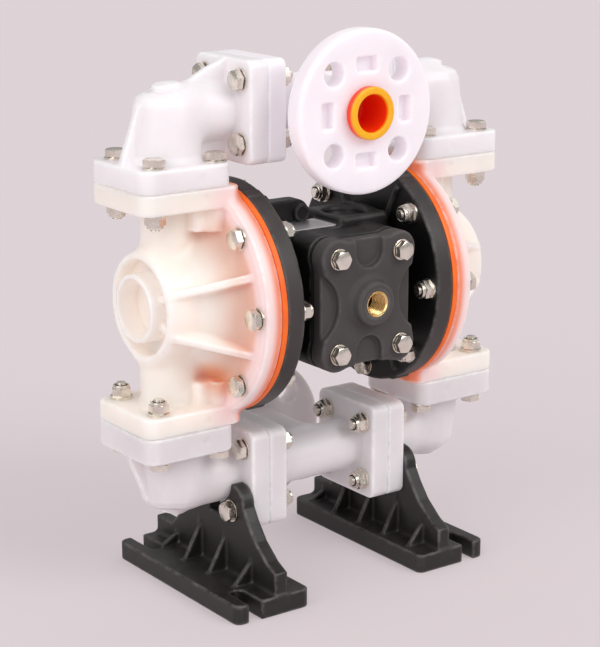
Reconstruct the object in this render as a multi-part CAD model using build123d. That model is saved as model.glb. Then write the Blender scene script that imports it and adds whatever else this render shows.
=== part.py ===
from build123d import *
import math
import os

# Air operated double diaphragm pump, half inch size, polypropylene, flanged DN15 ports.
# The pieces are drawn about the point midway between the two diaphragms:
# +X along the shaft, -Y towards the air valve, +Z up.  Every node is lifted by SHAFT_Z
# when it is written, so that the feet stand on Z = 0.

# ---------------------------------------------------------------- driving dimensions, mm
SHAFT_Z = 180.2              # shaft axis above the floor

# diaphragm stack
RIM_X = 62.2                 # middle of the clamped diaphragm rim
RIM_T = 3.4                  # thickness of that rim
BODY_R = 69.0                # outside radius of covers, rims and air chambers
CHAMBER_BOLTS = 8
CHAMBER_BOLT_R = 60.9        # bolt circle radius
STROKE = 8.0                 # shaft travel each way
MEMBRANE_T = 3.0
PLATE_R = 28.0               # diaphragm plates
INNER_PLATE_T = 5.0
OUTER_PLATE_T = 8.0

# fluid covers
COVER_FACE_X = 75.5          # bolting face of the cover rim
BOSS_R = 32.5                # open cup on the end of the cover
BOSS_X = 116.0
BOSS_FOOT_X = 93.5
INNER_RING_R = 20.0          # ring standing inside the cup
INNER_RING_BORE_R = 17.3
INNER_RING_X = 120.5
CUP_FLOOR_X = 107.0
CUP_WALL_R = 28.0
RIB_ANGLES = (22.5, -22.5, 157.5, -157.5)
RIB_T = 4.5

# vertical ports
PORT_X = 97.0
PORT_BORE_R = 8.0
PORT_SPLIT_Z = 70.5          # joint face between cover and elbow
COVER_FLANGE_T = 12.0
TOP_FLANGE_T = 13.5
BOTTOM_FLANGE_T = 15.5
FLANGE_OUT_X = 130.0
COVER_FLANGE_IN_X = RIM_X + RIM_T / 2
ELBOW_FLANGE_IN_X = 70.0
FLANGE_HALF_Y = 30.0
FLANGE_CORNER_R = 8.0
PORT_BOLT_DX = 20.3
PORT_BOLT_DY = 20.9
PORT_HOLE_DEPTH = 23.0
PORT_BOSS_R = 6.5            # bosses under the two inner bolts of each port flange
PORT_BOSS_END_Z = 44.5
TOP_NECK_R = 15.0
BOTTOM_NECK_R = 17.0

# manifolds
ARM_Z = 110.0                # height of the manifold pipe above the shaft
ARM_R = 15.7
ELBOW_ARM_R = 17.0
SQUARE_HALF_Y = 28.5
SQUARE_HALF_Z = 30.0
SQUARE_CORNER_R = 5.0
SQUARE_T = 12.5
MANIFOLD_SPLIT_X = 45.0
SQUARE_BOLT = 18.4           # half of the square bolt spacing
ELBOW_FOOT_R = 22.0
ELBOW_TOP_R = 17.8
ELBOW_TOP_Z = 122.5
CAP_R = 7.2
CAP_Z = 126.5
FIN_T = 5.0

# round pipe flanges, DN15
PIPE_FLANGE_R = 47.5
PIPE_FLANGE_FACE_Y = 61.6
PIPE_FLANGE_T = 13.0
PIPE_BOLT_PCD = 65.0
PIPE_BOLT_HOLE_R = 7.0
POCKET_R = 27.5
POCKET_SIZE = (15.0, 8.5)
POCKET_DEPTH = 6.0
PIPE_NECK_R = 17.0
PIPE_BORE_R = 8.5
PLUG_BORE_R = 12.1
PLUG_BORE_DEPTH = 20.6

# transit plugs
PLUG_STEM_R = 12.05
PLUG_LIP_R = 15.25
PLUG_LIP_T = 6.0
PLUG_CUP_R = 10.75
PLUG_STEM_L = 19.6

# check valves
BALL_R = 9.0
CAGE_R = 11.5
SEAT_BORE_R = 6.5
SEAT_R = 13.0
SEAT_T = 5.0
BALL_LIFT = 4.0
BALL_ROOM = 1.2              # free height over the lifted ball

# air chambers
CHAMBER_BACK_X = 48.5
DISH_R = 36.0
DISH_BACK_X = 42.5
DISH_FLOOR_X = 46.5
TAB_ANGLE = 22.5             # mould tabs on the ring, from the vertical
TAB_HALF = 3.0
TAB_R = 70.0

# centre block
BLOCK_HALF_X = DISH_BACK_X
BLOCK_HALF_Y = 30.0
BLOCK_HALF_Z = 33.0
SHAFT_R = 8.0
RUN_GAP = 0.05               # radial running clearance
BUSH_R = 11.0
BUSH_X = (28.0, 42.0)
SEAL_X = (23.5, 26.5)
SEAL_R = 10.6
PILOT_R = 3.0
PILOT_Y = -18.5
PILOT_RATIO = 0.25
TAP_R = 3.05                 # core radius for the M6 screws
LOW_RIB_Y = 20.0             # ribs under the block
LOW_RIB_T = 6.0
LOW_RIB_Z = -39.0
PAD_Z = 38.4                 # flat pad on top, behind the air valve
PAD_END = (6.0, -5.0)        # where it ends in x and y
BEAM_Z = 52.0                # beam behind the pad
BEAM_BACK_Y = 6.0
BEAM_END_X = 1.0
BEAM_END_R = 10.0
REAR_BEAM_Z = 54.0
REAR_BEAM_END = (-22.0, 22.0)
BEAM_PLUG = (-7.0, 44.0)     # plugged air way in the front of the beam
BEAM_PLUG_R = 5.4
BEAM_PLUG_L = 4.0
TOP_ROOT_Z = 30.0            # how deep the top forms reach into the block
SADDLE_Z = 43.0              # raised bed on the right with a round hollow
SADDLE_BACK_Y = 10.0
SADDLE_HOLLOW = (22.5, -11.0)
SADDLE_HOLLOW_R = 12.5
SADDLE_HOLLOW_Z = 37.0

# air valve on the front
VALVE_HALF_X = 32.5
VALVE_HALF_Z = 37.5
VALVE_BOLT_X = 22.75
VALVE_BOLT_Z = 28.25
VALVE_EAR_R = 11.0
VALVE_BODY_Y = (-30.0, -52.0)
GASKET_T = 1.5
VALVE_FACE_Y = -65.6
VALVE_BOSS_Y = -73.0
VALVE_BOSS_R = 13.0
RECESS_DEPTH = 3.5
SIDE_LENS_R = 22.0
SIDE_LENS_X = 44.0
END_U_R = 9.5
END_U_Z = 30.0
SPOOL_Y = -41.0
SLEEVE_R = 9.0
SPOOL_R = 7.0
SPOOL_HALF = 21.0
SLEEVE_HALF = 28.0
SPOOL_TRAVEL = 4.0
INSERT_R = 9.0
INLET_R = 6.58               # G1/4 thread, nominal radius
INSERT_L = 15.0
INLET_FEED_R = 5.0           # air way behind the insert

# exhaust silencer on the back
SILENCER_R = 15.0
SILENCER_Y = 73.0
EXHAUST_R = 8.5

# feet
FOOT_IN_X = 41.7
FOOT_OUT_X = 94.0
FOOT_FRONT_Y = -64.6
FOOT_BACK_Y = 68.6
FOOT_T = 12.0
WEB_X = (57.5, 66.4)
WEB_RIB_T = 3.2
SLOT_X = 80.8
SLOT_R = 4.3
SLOT_END_Y = 46.0            # centre of the round end of each slot
EAR_R = 12.0
VALLEY_Z = -134.0
BACK_WEB_Z = -157.0

# hexagon fasteners, M6
BOLT_R = 3.0
BOLT_HOLE_R = 3.3
HEX_AF = 10.0
HEAD_T = 4.0
WASHER_R = 6.2
WASHER_T = 1.6
NUT_T = 6.0


# ---------------------------------------------------------------- small shape helpers
def rod_x(radius, x0, x1, y=0.0, z=0.0):
    """Round bar parallel to X."""
    return Pos((x0 + x1) / 2, y, z) * Rot(0, 90, 0) * Cylinder(radius, abs(x1 - x0))


def rod_y(radius, y0, y1, x=0.0, z=0.0):
    """Round bar parallel to Y."""
    return Pos(x, (y0 + y1) / 2, z) * Rot(90, 0, 0) * Cylinder(radius, abs(y1 - y0))


def rod_z(radius, z0, z1, x=0.0, y=0.0):
    """Round bar parallel to Z."""
    return Pos(x, y, (z0 + z1) / 2) * Cylinder(radius, abs(z1 - z0))


def block(x0, x1, y0, y1, z0, z1):
    """Rectangular block between two corners."""
    size = (abs(x1 - x0), abs(y1 - y0), abs(z1 - z0))
    return Pos((x0 + x1) / 2, (y0 + y1) / 2, (z0 + z1) / 2) * Box(*size)


def turned_x(points):
    """Solid turned about the X axis from (x, radius) points."""
    face = make_face(Polyline(*points, close=True))
    return revolve(face, Axis.X)


def turned_y(points, x=0.0, z=0.0):
    """Solid turned about a Y axis through (x, z) from (radius, y) points."""
    face = make_face(Polyline(*points, close=True))
    return Pos(x, 0, z) * revolve(face, Axis.Y)


def turned_z(points, x=0.0):
    """Solid turned about a Z axis through (x, 0) from (radius, z) points."""
    face = make_face(Plane.XZ * Polyline(*points, close=True))
    return Pos(x, 0, 0) * revolve(face, Axis.Z)


def ring_x(outer, inner, x0, x1, y=0.0, z=0.0):
    """Flat ring with its axis along X."""
    return rod_x(outer, x0, x1, y, z) - rod_x(inner, x0, x1, y, z)


def slab_x(outline, x0, x1):
    """Flat outline in (y, z) made solid from x0 to x1."""
    plane = Plane(origin=(x0, 0, 0), x_dir=(0, 1, 0), z_dir=(1, 0, 0))
    return extrude(plane * outline, x1 - x0)


def slab_y(outline, y0, y1):
    """Flat outline in (x, z) made solid from y0 back to y1."""
    plane = Plane(origin=(0, y0, 0), x_dir=(1, 0, 0), z_dir=(0, -1, 0))
    return extrude(plane * outline, y0 - y1)


def slab_z(outline, z0, z1):
    """Flat outline in (x, y) made solid from z0 to z1."""
    return extrude(Plane(origin=(0, 0, z0)) * outline, z1 - z0)


def other_side(shape):
    """The same piece on the left of the pump."""
    return mirror(shape, about=Plane.YZ)


def upside_down(shape):
    """The same piece on the suction side of the pump."""
    return mirror(shape, about=Plane.XY)


def square_points(half_a, half_b):
    """The four corners of a rectangle, in order."""
    return [(half_a, half_b), (-half_a, half_b), (-half_a, -half_b), (half_a, -half_b)]


def circle_points(count, radius, start=0.0):
    """Points evenly spaced on a circle, from an angle in degrees."""
    step = 360.0 / count
    angles = [math.radians(start + step * i) for i in range(count)]
    return [(radius * math.cos(a), radius * math.sin(a)) for a in angles]


# ---------------------------------------------------------------- fasteners
def hexagon(height):
    """Hexagon prism standing on its own origin."""
    prism = extrude(RegularPolygon(HEX_AF / 2, 6, major_radius=False), height)
    return prism


def hex_screw(length):
    """Hexagon screw with its washer, head above the origin, shank down."""
    washer = rod_z(WASHER_R, 0, WASHER_T)
    head = Pos(0, 0, WASHER_T) * hexagon(HEAD_T)
    shank = rod_z(BOLT_R, -length, WASHER_T)
    return washer + head + shank


def lock_nut():
    """Lock nut with its washer, above the origin, bored for the screw."""
    washer = rod_z(WASHER_R, 0, WASHER_T)
    crown = rod_z(HEX_AF / 2 - 0.5, WASHER_T, WASHER_T + NUT_T + 1.4)
    body = Pos(0, 0, WASHER_T) * hexagon(NUT_T - 1.0)
    return washer + body + crown - rod_z(BOLT_R + RUN_GAP, 0, WASHER_T + NUT_T + 1.4)


def set_out(piece, places, direction):
    """Copies of a fastener at 3-D places, pointing along a direction."""
    copies = []
    for place in places:
        plane = Plane(origin=place, z_dir=direction)
        copies.append(plane.location * piece)
    return copies


def drilled(shape, places, direction, radius, depth):
    """A shape with a round hole going down from each place."""
    for place in places:
        hole = Plane(origin=place, z_dir=direction).location * rod_z(radius, -depth, 1.0)
        shape = shape - hole
    return shape


# ---------------------------------------------------------------- bolt places
def chamber_places(x):
    """Centres of the chamber bolts beside the port flanges, in the plane at x."""
    points = circle_points(CHAMBER_BOLTS, CHAMBER_BOLT_R)
    return [(x, y, z) for y, z in points if abs(y) > 1]


def end_places(x):
    """Centres of the top and bottom chamber bolts, which go in from the air side."""
    return [(x, 0, CHAMBER_BOLT_R), (x, 0, -CHAMBER_BOLT_R)]


def port_places(z, side=1):
    """Port flange bolt centres on one side of the pump."""
    return [(side * PORT_X + x, y, z) for x, y in square_points(PORT_BOLT_DX, PORT_BOLT_DY)]


def manifold_places(x, z):
    """Manifold flange bolt centres in the plane at x."""
    return [(x, y, z + dz) for y, dz in square_points(SQUARE_BOLT, SQUARE_BOLT)]


def valve_places(y):
    """Air valve screw centres in the plane at y."""
    return [(x, y, z) for x, z in square_points(VALVE_BOLT_X, VALVE_BOLT_Z)]


# ---------------------------------------------------------------- fluid side
def fluid_cover():
    """Right fluid cover: dished chamber, end cup, ribs and two port flanges."""
    rim_in = COVER_FLANGE_IN_X
    shell = turned_x([
        (rim_in, 0), (rim_in, BODY_R), (COVER_FACE_X - 2.5, BODY_R),
        (COVER_FACE_X, BODY_R - 2.5), (COVER_FACE_X, 50.0), (BOSS_FOOT_X, BOSS_R + 1.0),
        (BOSS_X, BOSS_R), (BOSS_X, 0)])
    for z0, z1, neck_r in ((20, PORT_SPLIT_Z, TOP_NECK_R), (-PORT_SPLIT_Z, -20, BOTTOM_NECK_R)):
        shell = shell + rod_z(neck_r, z0, z1, PORT_X)
    width = FLANGE_OUT_X - COVER_FLANGE_IN_X
    plate = Pos((FLANGE_OUT_X + COVER_FLANGE_IN_X) / 2, 0) * RectangleRounded(
        width, 2 * FLANGE_HALF_Y, FLANGE_CORNER_R)
    inner_z = PORT_SPLIT_Z - COVER_FLANGE_T
    shell = shell + slab_z(plate, inner_z, PORT_SPLIT_Z)
    shell = shell + slab_z(plate, -PORT_SPLIT_Z, -inner_z)
    for y in (-PORT_BOLT_DY, PORT_BOLT_DY):
        for z0, z1 in ((PORT_BOSS_END_Z, inner_z), (-inner_z, -PORT_BOSS_END_Z)):
            shell = shell + rod_z(PORT_BOSS_R, z0, z1, PORT_X - PORT_BOLT_DX, y)
    rib = make_face(Plane.XY * Polyline(
        (COVER_FACE_X - 1, 40.0), (COVER_FACE_X - 1, 63.0), (BOSS_X - 1.5, BOSS_R - 0.2),
        (BOSS_X - 1.5, 24.0), close=True))
    rib = extrude(rib, RIB_T / 2, both=True)
    for angle in RIB_ANGLES:
        shell = shell + Rot(angle + 180, 0, 0) * rib
    cup = ring_x(CUP_WALL_R, INNER_RING_R, CUP_FLOOR_X, BOSS_X + 1)
    web = block(CUP_FLOOR_X - 1, BOSS_X - 2.0, -CUP_WALL_R - 1, CUP_WALL_R + 1, -RIB_T / 2, RIB_T / 2)
    for angle in RIB_ANGLES[:2]:
        cup = cup - Rot(angle, 0, 0) * web
    shell = shell - cup
    shell = shell + rod_x(INNER_RING_R, CUP_FLOOR_X - 1, INNER_RING_X)
    shell = shell - rod_x(INNER_RING_BORE_R, CUP_FLOOR_X - 1, INNER_RING_X + 1)
    cavity = turned_x([
        (rim_in - 1, 0), (rim_in - 1, 54.0), (72.0, 50.0), (90.0, 29.0), (97.0, 22.0), (97.0, 0)])
    shell = shell - cavity
    shell = shell - rod_z(PORT_BORE_R, -PORT_SPLIT_Z - 1, PORT_SPLIT_Z + 1, PORT_X)
    cage_top = -PORT_SPLIT_Z + SEAT_T + ball_height() + BALL_R + BALL_LIFT + BALL_ROOM
    shell = shell - rod_z(CAGE_R, -PORT_SPLIT_Z, cage_top, PORT_X)
    shell = shell - rod_z(SEAT_R + RUN_GAP, -PORT_SPLIT_Z, -PORT_SPLIT_Z + SEAT_T, PORT_X)
    shell = drilled(shell, chamber_places(COVER_FACE_X), (1, 0, 0), BOLT_HOLE_R, 20)
    shell = drilled(shell, end_places(rim_in), (-1, 0, 0), TAP_R, COVER_FACE_X - rim_in - 0.5)
    shell = drilled(shell, port_places(PORT_SPLIT_Z), (0, 0, 1), BOLT_HOLE_R, PORT_HOLE_DEPTH)
    return drilled(shell, port_places(-PORT_SPLIT_Z), (0, 0, -1), BOLT_HOLE_R, PORT_HOLE_DEPTH)


def ball_height():
    """Height of a seated ball's centre over the top of its seat."""
    return math.sqrt(BALL_R ** 2 - SEAT_BORE_R ** 2) + 0.05


def elbow(plate_t, with_cage, with_inner_fin):
    """Right elbow of the discharge side, from port flange to manifold flange."""
    plate_z = PORT_SPLIT_Z + plate_t
    width = FLANGE_OUT_X - ELBOW_FLANGE_IN_X
    plate = Pos((FLANGE_OUT_X + ELBOW_FLANGE_IN_X) / 2, 0) * RectangleRounded(
        width, 2 * FLANGE_HALF_Y, FLANGE_CORNER_R)
    body = slab_z(plate, PORT_SPLIT_Z, plate_z)
    body = body + turned_z([
        (0, PORT_SPLIT_Z), (ELBOW_FOOT_R, PORT_SPLIT_Z), (ELBOW_FOOT_R, plate_z + 1.5),
        (ELBOW_FOOT_R - 1.5, plate_z + 4), (ELBOW_TOP_R, ELBOW_TOP_Z - 6),
        (ELBOW_TOP_R - 1.8, ELBOW_TOP_Z - 2.2), (ELBOW_TOP_R - 5.8, ELBOW_TOP_Z),
        (CAP_R, ELBOW_TOP_Z), (CAP_R, CAP_Z - 0.8), (CAP_R - 0.8, CAP_Z), (0, CAP_Z)], PORT_X)
    face_x = MANIFOLD_SPLIT_X + SQUARE_T
    body = body + rod_x(ELBOW_ARM_R, face_x - 1, PORT_X, 0, ARM_Z)
    body = body + square_flange(MANIFOLD_SPLIT_X)
    body = body + fin([(PORT_X, plate_z - 1), (127, plate_z - 1), (125.5, plate_z + 5),
                       (115.5, ELBOW_TOP_Z - 6), (106, ELBOW_TOP_Z), (PORT_X, ELBOW_TOP_Z)])
    body = body + fin([(face_x - 1, ARM_Z), (face_x - 1, plate_z - 1), (PORT_X, plate_z - 1),
                       (PORT_X, ARM_Z)])
    if with_inner_fin:
        body = body + fin([(face_x - 1, ARM_Z), (face_x - 1, ARM_Z + SQUARE_HALF_Z),
                           (70, 134), (87, 125.5), (PORT_X, ELBOW_TOP_Z), (PORT_X, ARM_Z)])
    body = body - rod_z(PORT_BORE_R, PORT_SPLIT_Z - 1, ARM_Z, PORT_X)
    body = body - rod_x(PORT_BORE_R, MANIFOLD_SPLIT_X - 1, PORT_X, 0, ARM_Z)
    body = body - Pos(PORT_X, 0, ARM_Z) * Sphere(PORT_BORE_R)
    if with_cage:
        cage_top = PORT_SPLIT_Z + SEAT_T + ball_height() + BALL_R + BALL_LIFT + BALL_ROOM
        body = body - rod_z(CAGE_R, PORT_SPLIT_Z, cage_top, PORT_X)
        body = body - rod_z(SEAT_R + RUN_GAP, PORT_SPLIT_Z, PORT_SPLIT_Z + SEAT_T, PORT_X)
    body = drilled(body, port_places(plate_z), (0, 0, 1), BOLT_HOLE_R, 25)
    return drilled(body, manifold_places(face_x, ARM_Z), (1, 0, 0), BOLT_HOLE_R, 20)


def square_flange(x0):
    """Square manifold flange from x0 outwards at the discharge height."""
    outline = Pos(0, ARM_Z) * RectangleRounded(
        2 * SQUARE_HALF_Y, 2 * SQUARE_HALF_Z, SQUARE_CORNER_R)
    return slab_x(outline, x0, x0 + SQUARE_T)


def fin(points):
    """Thin web in the middle plane from (x, z) points."""
    face = make_face(Plane.XZ * Polyline(*points, close=True))
    return extrude(face, FIN_T / 2, both=True)


def tee():
    """Discharge tee: pipe between two square flanges and a round flange in front."""
    inner_x = MANIFOLD_SPLIT_X - SQUARE_T
    body = rod_x(ARM_R, -inner_x - 1, inner_x + 1, 0, ARM_Z)
    body = body + square_flange(inner_x) + square_flange(-MANIFOLD_SPLIT_X)
    face_y = -PIPE_FLANGE_FACE_Y
    back_y = face_y + PIPE_FLANGE_T
    body = body + turned_y([
        (0, 0), (PIPE_NECK_R, 0), (PIPE_NECK_R, back_y + 3), (PIPE_NECK_R + 3, back_y),
        (PIPE_FLANGE_R - 2.5, back_y), (PIPE_FLANGE_R, back_y - 2.5),
        (PIPE_FLANGE_R, face_y + 2.5), (PIPE_FLANGE_R - 2.5, face_y), (0, face_y)], 0, ARM_Z)
    for angle in range(0, 360, 90):
        turn = Pos(0, 0, ARM_Z) * Rot(0, angle, 0)
        across, deep = POCKET_SIZE
        pocket = block(-across / 2, across / 2, face_y - 1, face_y + POCKET_DEPTH,
                       POCKET_R - deep / 2, POCKET_R + deep / 2)
        body = body - turn * pocket
        hole = rod_y(PIPE_BOLT_HOLE_R, face_y - 1, back_y + 1, 0, PIPE_BOLT_PCD / 2)
        body = body - turn * Rot(0, 45, 0) * hole
    body = body - rod_y(PLUG_BORE_R, face_y - 1, face_y + PLUG_BORE_DEPTH, 0, ARM_Z)
    body = body - rod_y(PIPE_BORE_R, face_y, 0, 0, ARM_Z)
    body = body - rod_x(PORT_BORE_R, -MANIFOLD_SPLIT_X - 1, MANIFOLD_SPLIT_X + 1, 0, ARM_Z)
    body = drilled(body, manifold_places(MANIFOLD_SPLIT_X, ARM_Z), (1, 0, 0), BOLT_HOLE_R, 20)
    return drilled(body, manifold_places(-MANIFOLD_SPLIT_X, ARM_Z), (-1, 0, 0), BOLT_HOLE_R, 20)


def transit_plug():
    """Cup-shaped push-in plug of the discharge flange."""
    face_y = -PIPE_FLANGE_FACE_Y
    lip_y = face_y - PLUG_LIP_T
    end_y = face_y + PLUG_STEM_L
    return turned_y([
        (0, end_y), (PLUG_STEM_R - 0.8, end_y), (PLUG_STEM_R, end_y - 0.8), (PLUG_STEM_R, face_y),
        (PLUG_LIP_R, face_y), (PLUG_LIP_R, lip_y + 1.6), (PLUG_LIP_R - 0.5, lip_y + 0.5),
        (PLUG_LIP_R - 1.6, lip_y), (PLUG_CUP_R + 0.8, lip_y), (PLUG_CUP_R, lip_y + 0.8),
        (PLUG_CUP_R, end_y - 2.0), (0, end_y - 2.0)], 0, ARM_Z)


def valve_seat(z):
    """Ball seat ring whose top is chamfered where the ball lands."""
    ring = rod_z(SEAT_R, z, z + SEAT_T, PORT_X) - rod_z(SEAT_BORE_R, z, z + SEAT_T, PORT_X)
    return ring


def valve_ball(z):
    """Check valve ball resting over the seat that starts at z."""
    return Pos(PORT_X, 0, z + SEAT_T + ball_height()) * Sphere(BALL_R)


# ---------------------------------------------------------------- diaphragms and shaft
def diaphragm():
    """Right diaphragm: clamped rim with bolt holes, shallow convolution, flat middle."""
    a = RIM_X - RIM_T / 2
    b = RIM_X + RIM_T / 2
    m0 = RIM_X - MEMBRANE_T / 2
    m1 = RIM_X + MEMBRANE_T / 2
    bulge = 4.0
    sheet = turned_x([
        (a, BODY_R), (b, BODY_R), (b, 53.0), (m1 + bulge, 44.0), (m1 + bulge, 37.0), (m1, PLATE_R + 1),
        (m1, SHAFT_R), (m0, SHAFT_R), (m0, PLATE_R + 1), (m0 + bulge, 37.5),
        (m0 + bulge, 43.5), (a, 53.0)])
    return drilled(sheet, chamber_places(b) + end_places(b), (1, 0, 0), BOLT_HOLE_R, 10)


def inner_plate():
    """Right inner diaphragm plate, bored for the shaft."""
    x1 = RIM_X - MEMBRANE_T / 2
    x0 = x1 - INNER_PLATE_T
    return turned_x([(x0, SHAFT_R), (x0, PLATE_R - 6), (x0 + 2.5, PLATE_R), (x1, PLATE_R),
                     (x1, SHAFT_R)])


def outer_plate():
    """Right outer diaphragm plate, a low dome screwed on the shaft end."""
    x0 = RIM_X + MEMBRANE_T / 2
    x1 = x0 + OUTER_PLATE_T
    return turned_x([(x0, SHAFT_R), (x0, PLATE_R), (x0 + 3, PLATE_R), (x0 + 6, PLATE_R - 8),
                     (x1, PLATE_R - 18), (x1, 0), (x1 - 2.5, 0), (x1 - 2.5, SHAFT_R)])


def shaft():
    """Main shaft through both diaphragms."""
    end = RIM_X + MEMBRANE_T / 2 + OUTER_PLATE_T - 2.5
    return rod_x(SHAFT_R, -end, end)


def pilot_rod():
    """Pilot rod that the inner plates push at the end of each stroke."""
    plate_face = RIM_X - MEMBRANE_T / 2 - INNER_PLATE_T
    reach = plate_face - STROKE * (1 - PILOT_RATIO) - RUN_GAP
    return rod_x(PILOT_R, -reach, reach, PILOT_Y, 0)


# ---------------------------------------------------------------- air side
def air_chamber():
    """Right air chamber: flat bolting ring and a dish that seats on the block."""
    front = RIM_X - RIM_T / 2
    body = turned_x([
        (front, 0), (front, BODY_R - 0.8), (front - 0.8, BODY_R), (CHAMBER_BACK_X + 1.2, BODY_R),
        (CHAMBER_BACK_X, BODY_R - 1.2), (CHAMBER_BACK_X, DISH_R + 3), (DISH_BACK_X, DISH_R),
        (DISH_BACK_X, 0)])
    body = body - turned_x([
        (front + 1, 0), (front + 1, 54.0), (front - 1, 54.0), (CHAMBER_BACK_X + 4.5, 46.0),
        (CHAMBER_BACK_X + 4.5, DISH_R - 1), (DISH_FLOOR_X, DISH_R - 4), (DISH_FLOOR_X, 0)])
    body = body - rod_x(SHAFT_R + 0.6, DISH_BACK_X - 1, DISH_FLOOR_X + 1)
    body = body - rod_x(PILOT_R + RUN_GAP, DISH_BACK_X - 1, DISH_FLOOR_X + 1, PILOT_Y, 0)
    tab = block(CHAMBER_BACK_X + 0.8, front - 0.8, -TAB_HALF, TAB_HALF, BODY_R - 4, TAB_R)
    for turn in (TAB_ANGLE, -TAB_ANGLE, 180 - TAB_ANGLE, TAB_ANGLE - 180):
        body = body + Rot(turn, 0, 0) * tab
    places = chamber_places(front) + end_places(front)
    return drilled(body, places, (1, 0, 0), BOLT_HOLE_R, 20)


def center_block():
    """Centre block between the air chambers, with the shaft and pilot bores."""
    half_x = BLOCK_HALF_X
    outline = RectangleRounded(2 * BLOCK_HALF_Y, 2 * BLOCK_HALF_Z, 6.0)
    body = slab_x(outline, -half_x, half_x)
    for y in (-LOW_RIB_Y, LOW_RIB_Y):
        side_a = y - LOW_RIB_T / 2
        side_b = y + LOW_RIB_T / 2
        body = body + block(-half_x, half_x, side_a, side_b, LOW_RIB_Z, 3 - BLOCK_HALF_Z)
    body = body + block_top(half_x)
    for x in (-half_x + 2.5, half_x - 2.5):
        flange = Pos(0, 0) * Circle(DISH_R + 8)
        body = body + slab_x(flange, x - 2.5, x + 2.5)
    mouth = rod_y(EXHAUST_R + 5, BLOCK_HALF_Y - 1, BLOCK_HALF_Y + 4)
    body = body + mouth
    body = body - rod_x(SHAFT_R + 0.6, -half_x - 1, half_x + 1)
    for side in (-1, 1):
        body = body - rod_x(BUSH_R, side * BUSH_X[0], side * (BUSH_X[1] + 2))
        body = body - rod_x(SEAL_R, side * SEAL_X[0], side * SEAL_X[1])
    body = body - rod_x(PILOT_R + RUN_GAP, -half_x - 1, half_x + 1, PILOT_Y, 0)
    body = body - rod_y(EXHAUST_R, BLOCK_HALF_Y - 14, BLOCK_HALF_Y + 5)
    return drilled(body, valve_places(VALVE_BODY_Y[0]), (0, -1, 0), TAP_R, 12)


def block_top(half_x):
    """Top of the centre block: pad, two beams with a plugged air way, hollowed saddle."""
    root_z = TOP_ROOT_Z
    pad_x, pad_y = PAD_END
    top = block(-half_x, pad_x, -BLOCK_HALF_Y, pad_y + 1, root_z, PAD_Z)
    curve_z = BEAM_Z - BEAM_END_R
    curve_x = BEAM_END_X - BEAM_END_R
    lean = BEAM_END_R * math.sin(math.radians(45))
    side = make_face([
        Line((-half_x, root_z), (-half_x, BEAM_Z)), Line((-half_x, BEAM_Z), (curve_x, BEAM_Z)),
        ThreePointArc((curve_x, BEAM_Z), (curve_x + lean, curve_z + lean), (BEAM_END_X, curve_z)),
        Line((BEAM_END_X, curve_z), (BEAM_END_X, root_z)), Line((BEAM_END_X, root_z), (-half_x, root_z))])
    top = top + slab_y(side, BEAM_BACK_Y, pad_y)
    rear_x, rear_y = REAR_BEAM_END
    top = top + block(-half_x, rear_x, BEAM_BACK_Y - 1, rear_y, root_z, REAR_BEAM_Z)
    plug_x, plug_z = BEAM_PLUG
    top = top + rod_y(BEAM_PLUG_R, pad_y - BEAM_PLUG_L, pad_y + 1, plug_x, plug_z)
    saddle = block(pad_x, half_x, -BLOCK_HALF_Y, SADDLE_BACK_Y, root_z, SADDLE_Z)
    hollow_x, hollow_y = SADDLE_HOLLOW
    hollow = rod_z(SADDLE_HOLLOW_R, SADDLE_HOLLOW_Z, SADDLE_Z + 1, hollow_x, hollow_y)
    return top + saddle - hollow


def valve_outline():
    """Outline of the air valve in (x, z): a rectangle with four round ears."""
    shape = RectangleRounded(2 * VALVE_HALF_X, 2 * VALVE_HALF_Z, 9.0)
    for x, z in square_points(VALVE_BOLT_X, VALVE_BOLT_Z):
        shape = shape + Pos(x, z) * Circle(VALVE_EAR_R)
    return fillet(shape.vertices(), 5.0)


def valve_body():
    """Air valve body with the bore for the spool sleeve."""
    y0, y1 = VALVE_BODY_Y
    body = slab_y(valve_outline(), y0, y1)
    body = body - rod_x(SLEEVE_R, -VALVE_HALF_X - 3, VALVE_HALF_X + 3, SPOOL_Y, 0)
    return drilled(body, valve_places(y1), (0, -1, 0), BOLT_HOLE_R, 30)


def valve_gasket():
    """Gasket between valve body and cover."""
    y0 = VALVE_BODY_Y[1]
    sheet = slab_y(valve_outline(), y0, y0 - GASKET_T)
    sheet = sheet - rod_y(INSERT_R + 4, y0 + 1, y0 - GASKET_T - 1)
    return drilled(sheet, valve_places(y0 - GASKET_T), (0, -1, 0), BOLT_HOLE_R, 5)


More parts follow.
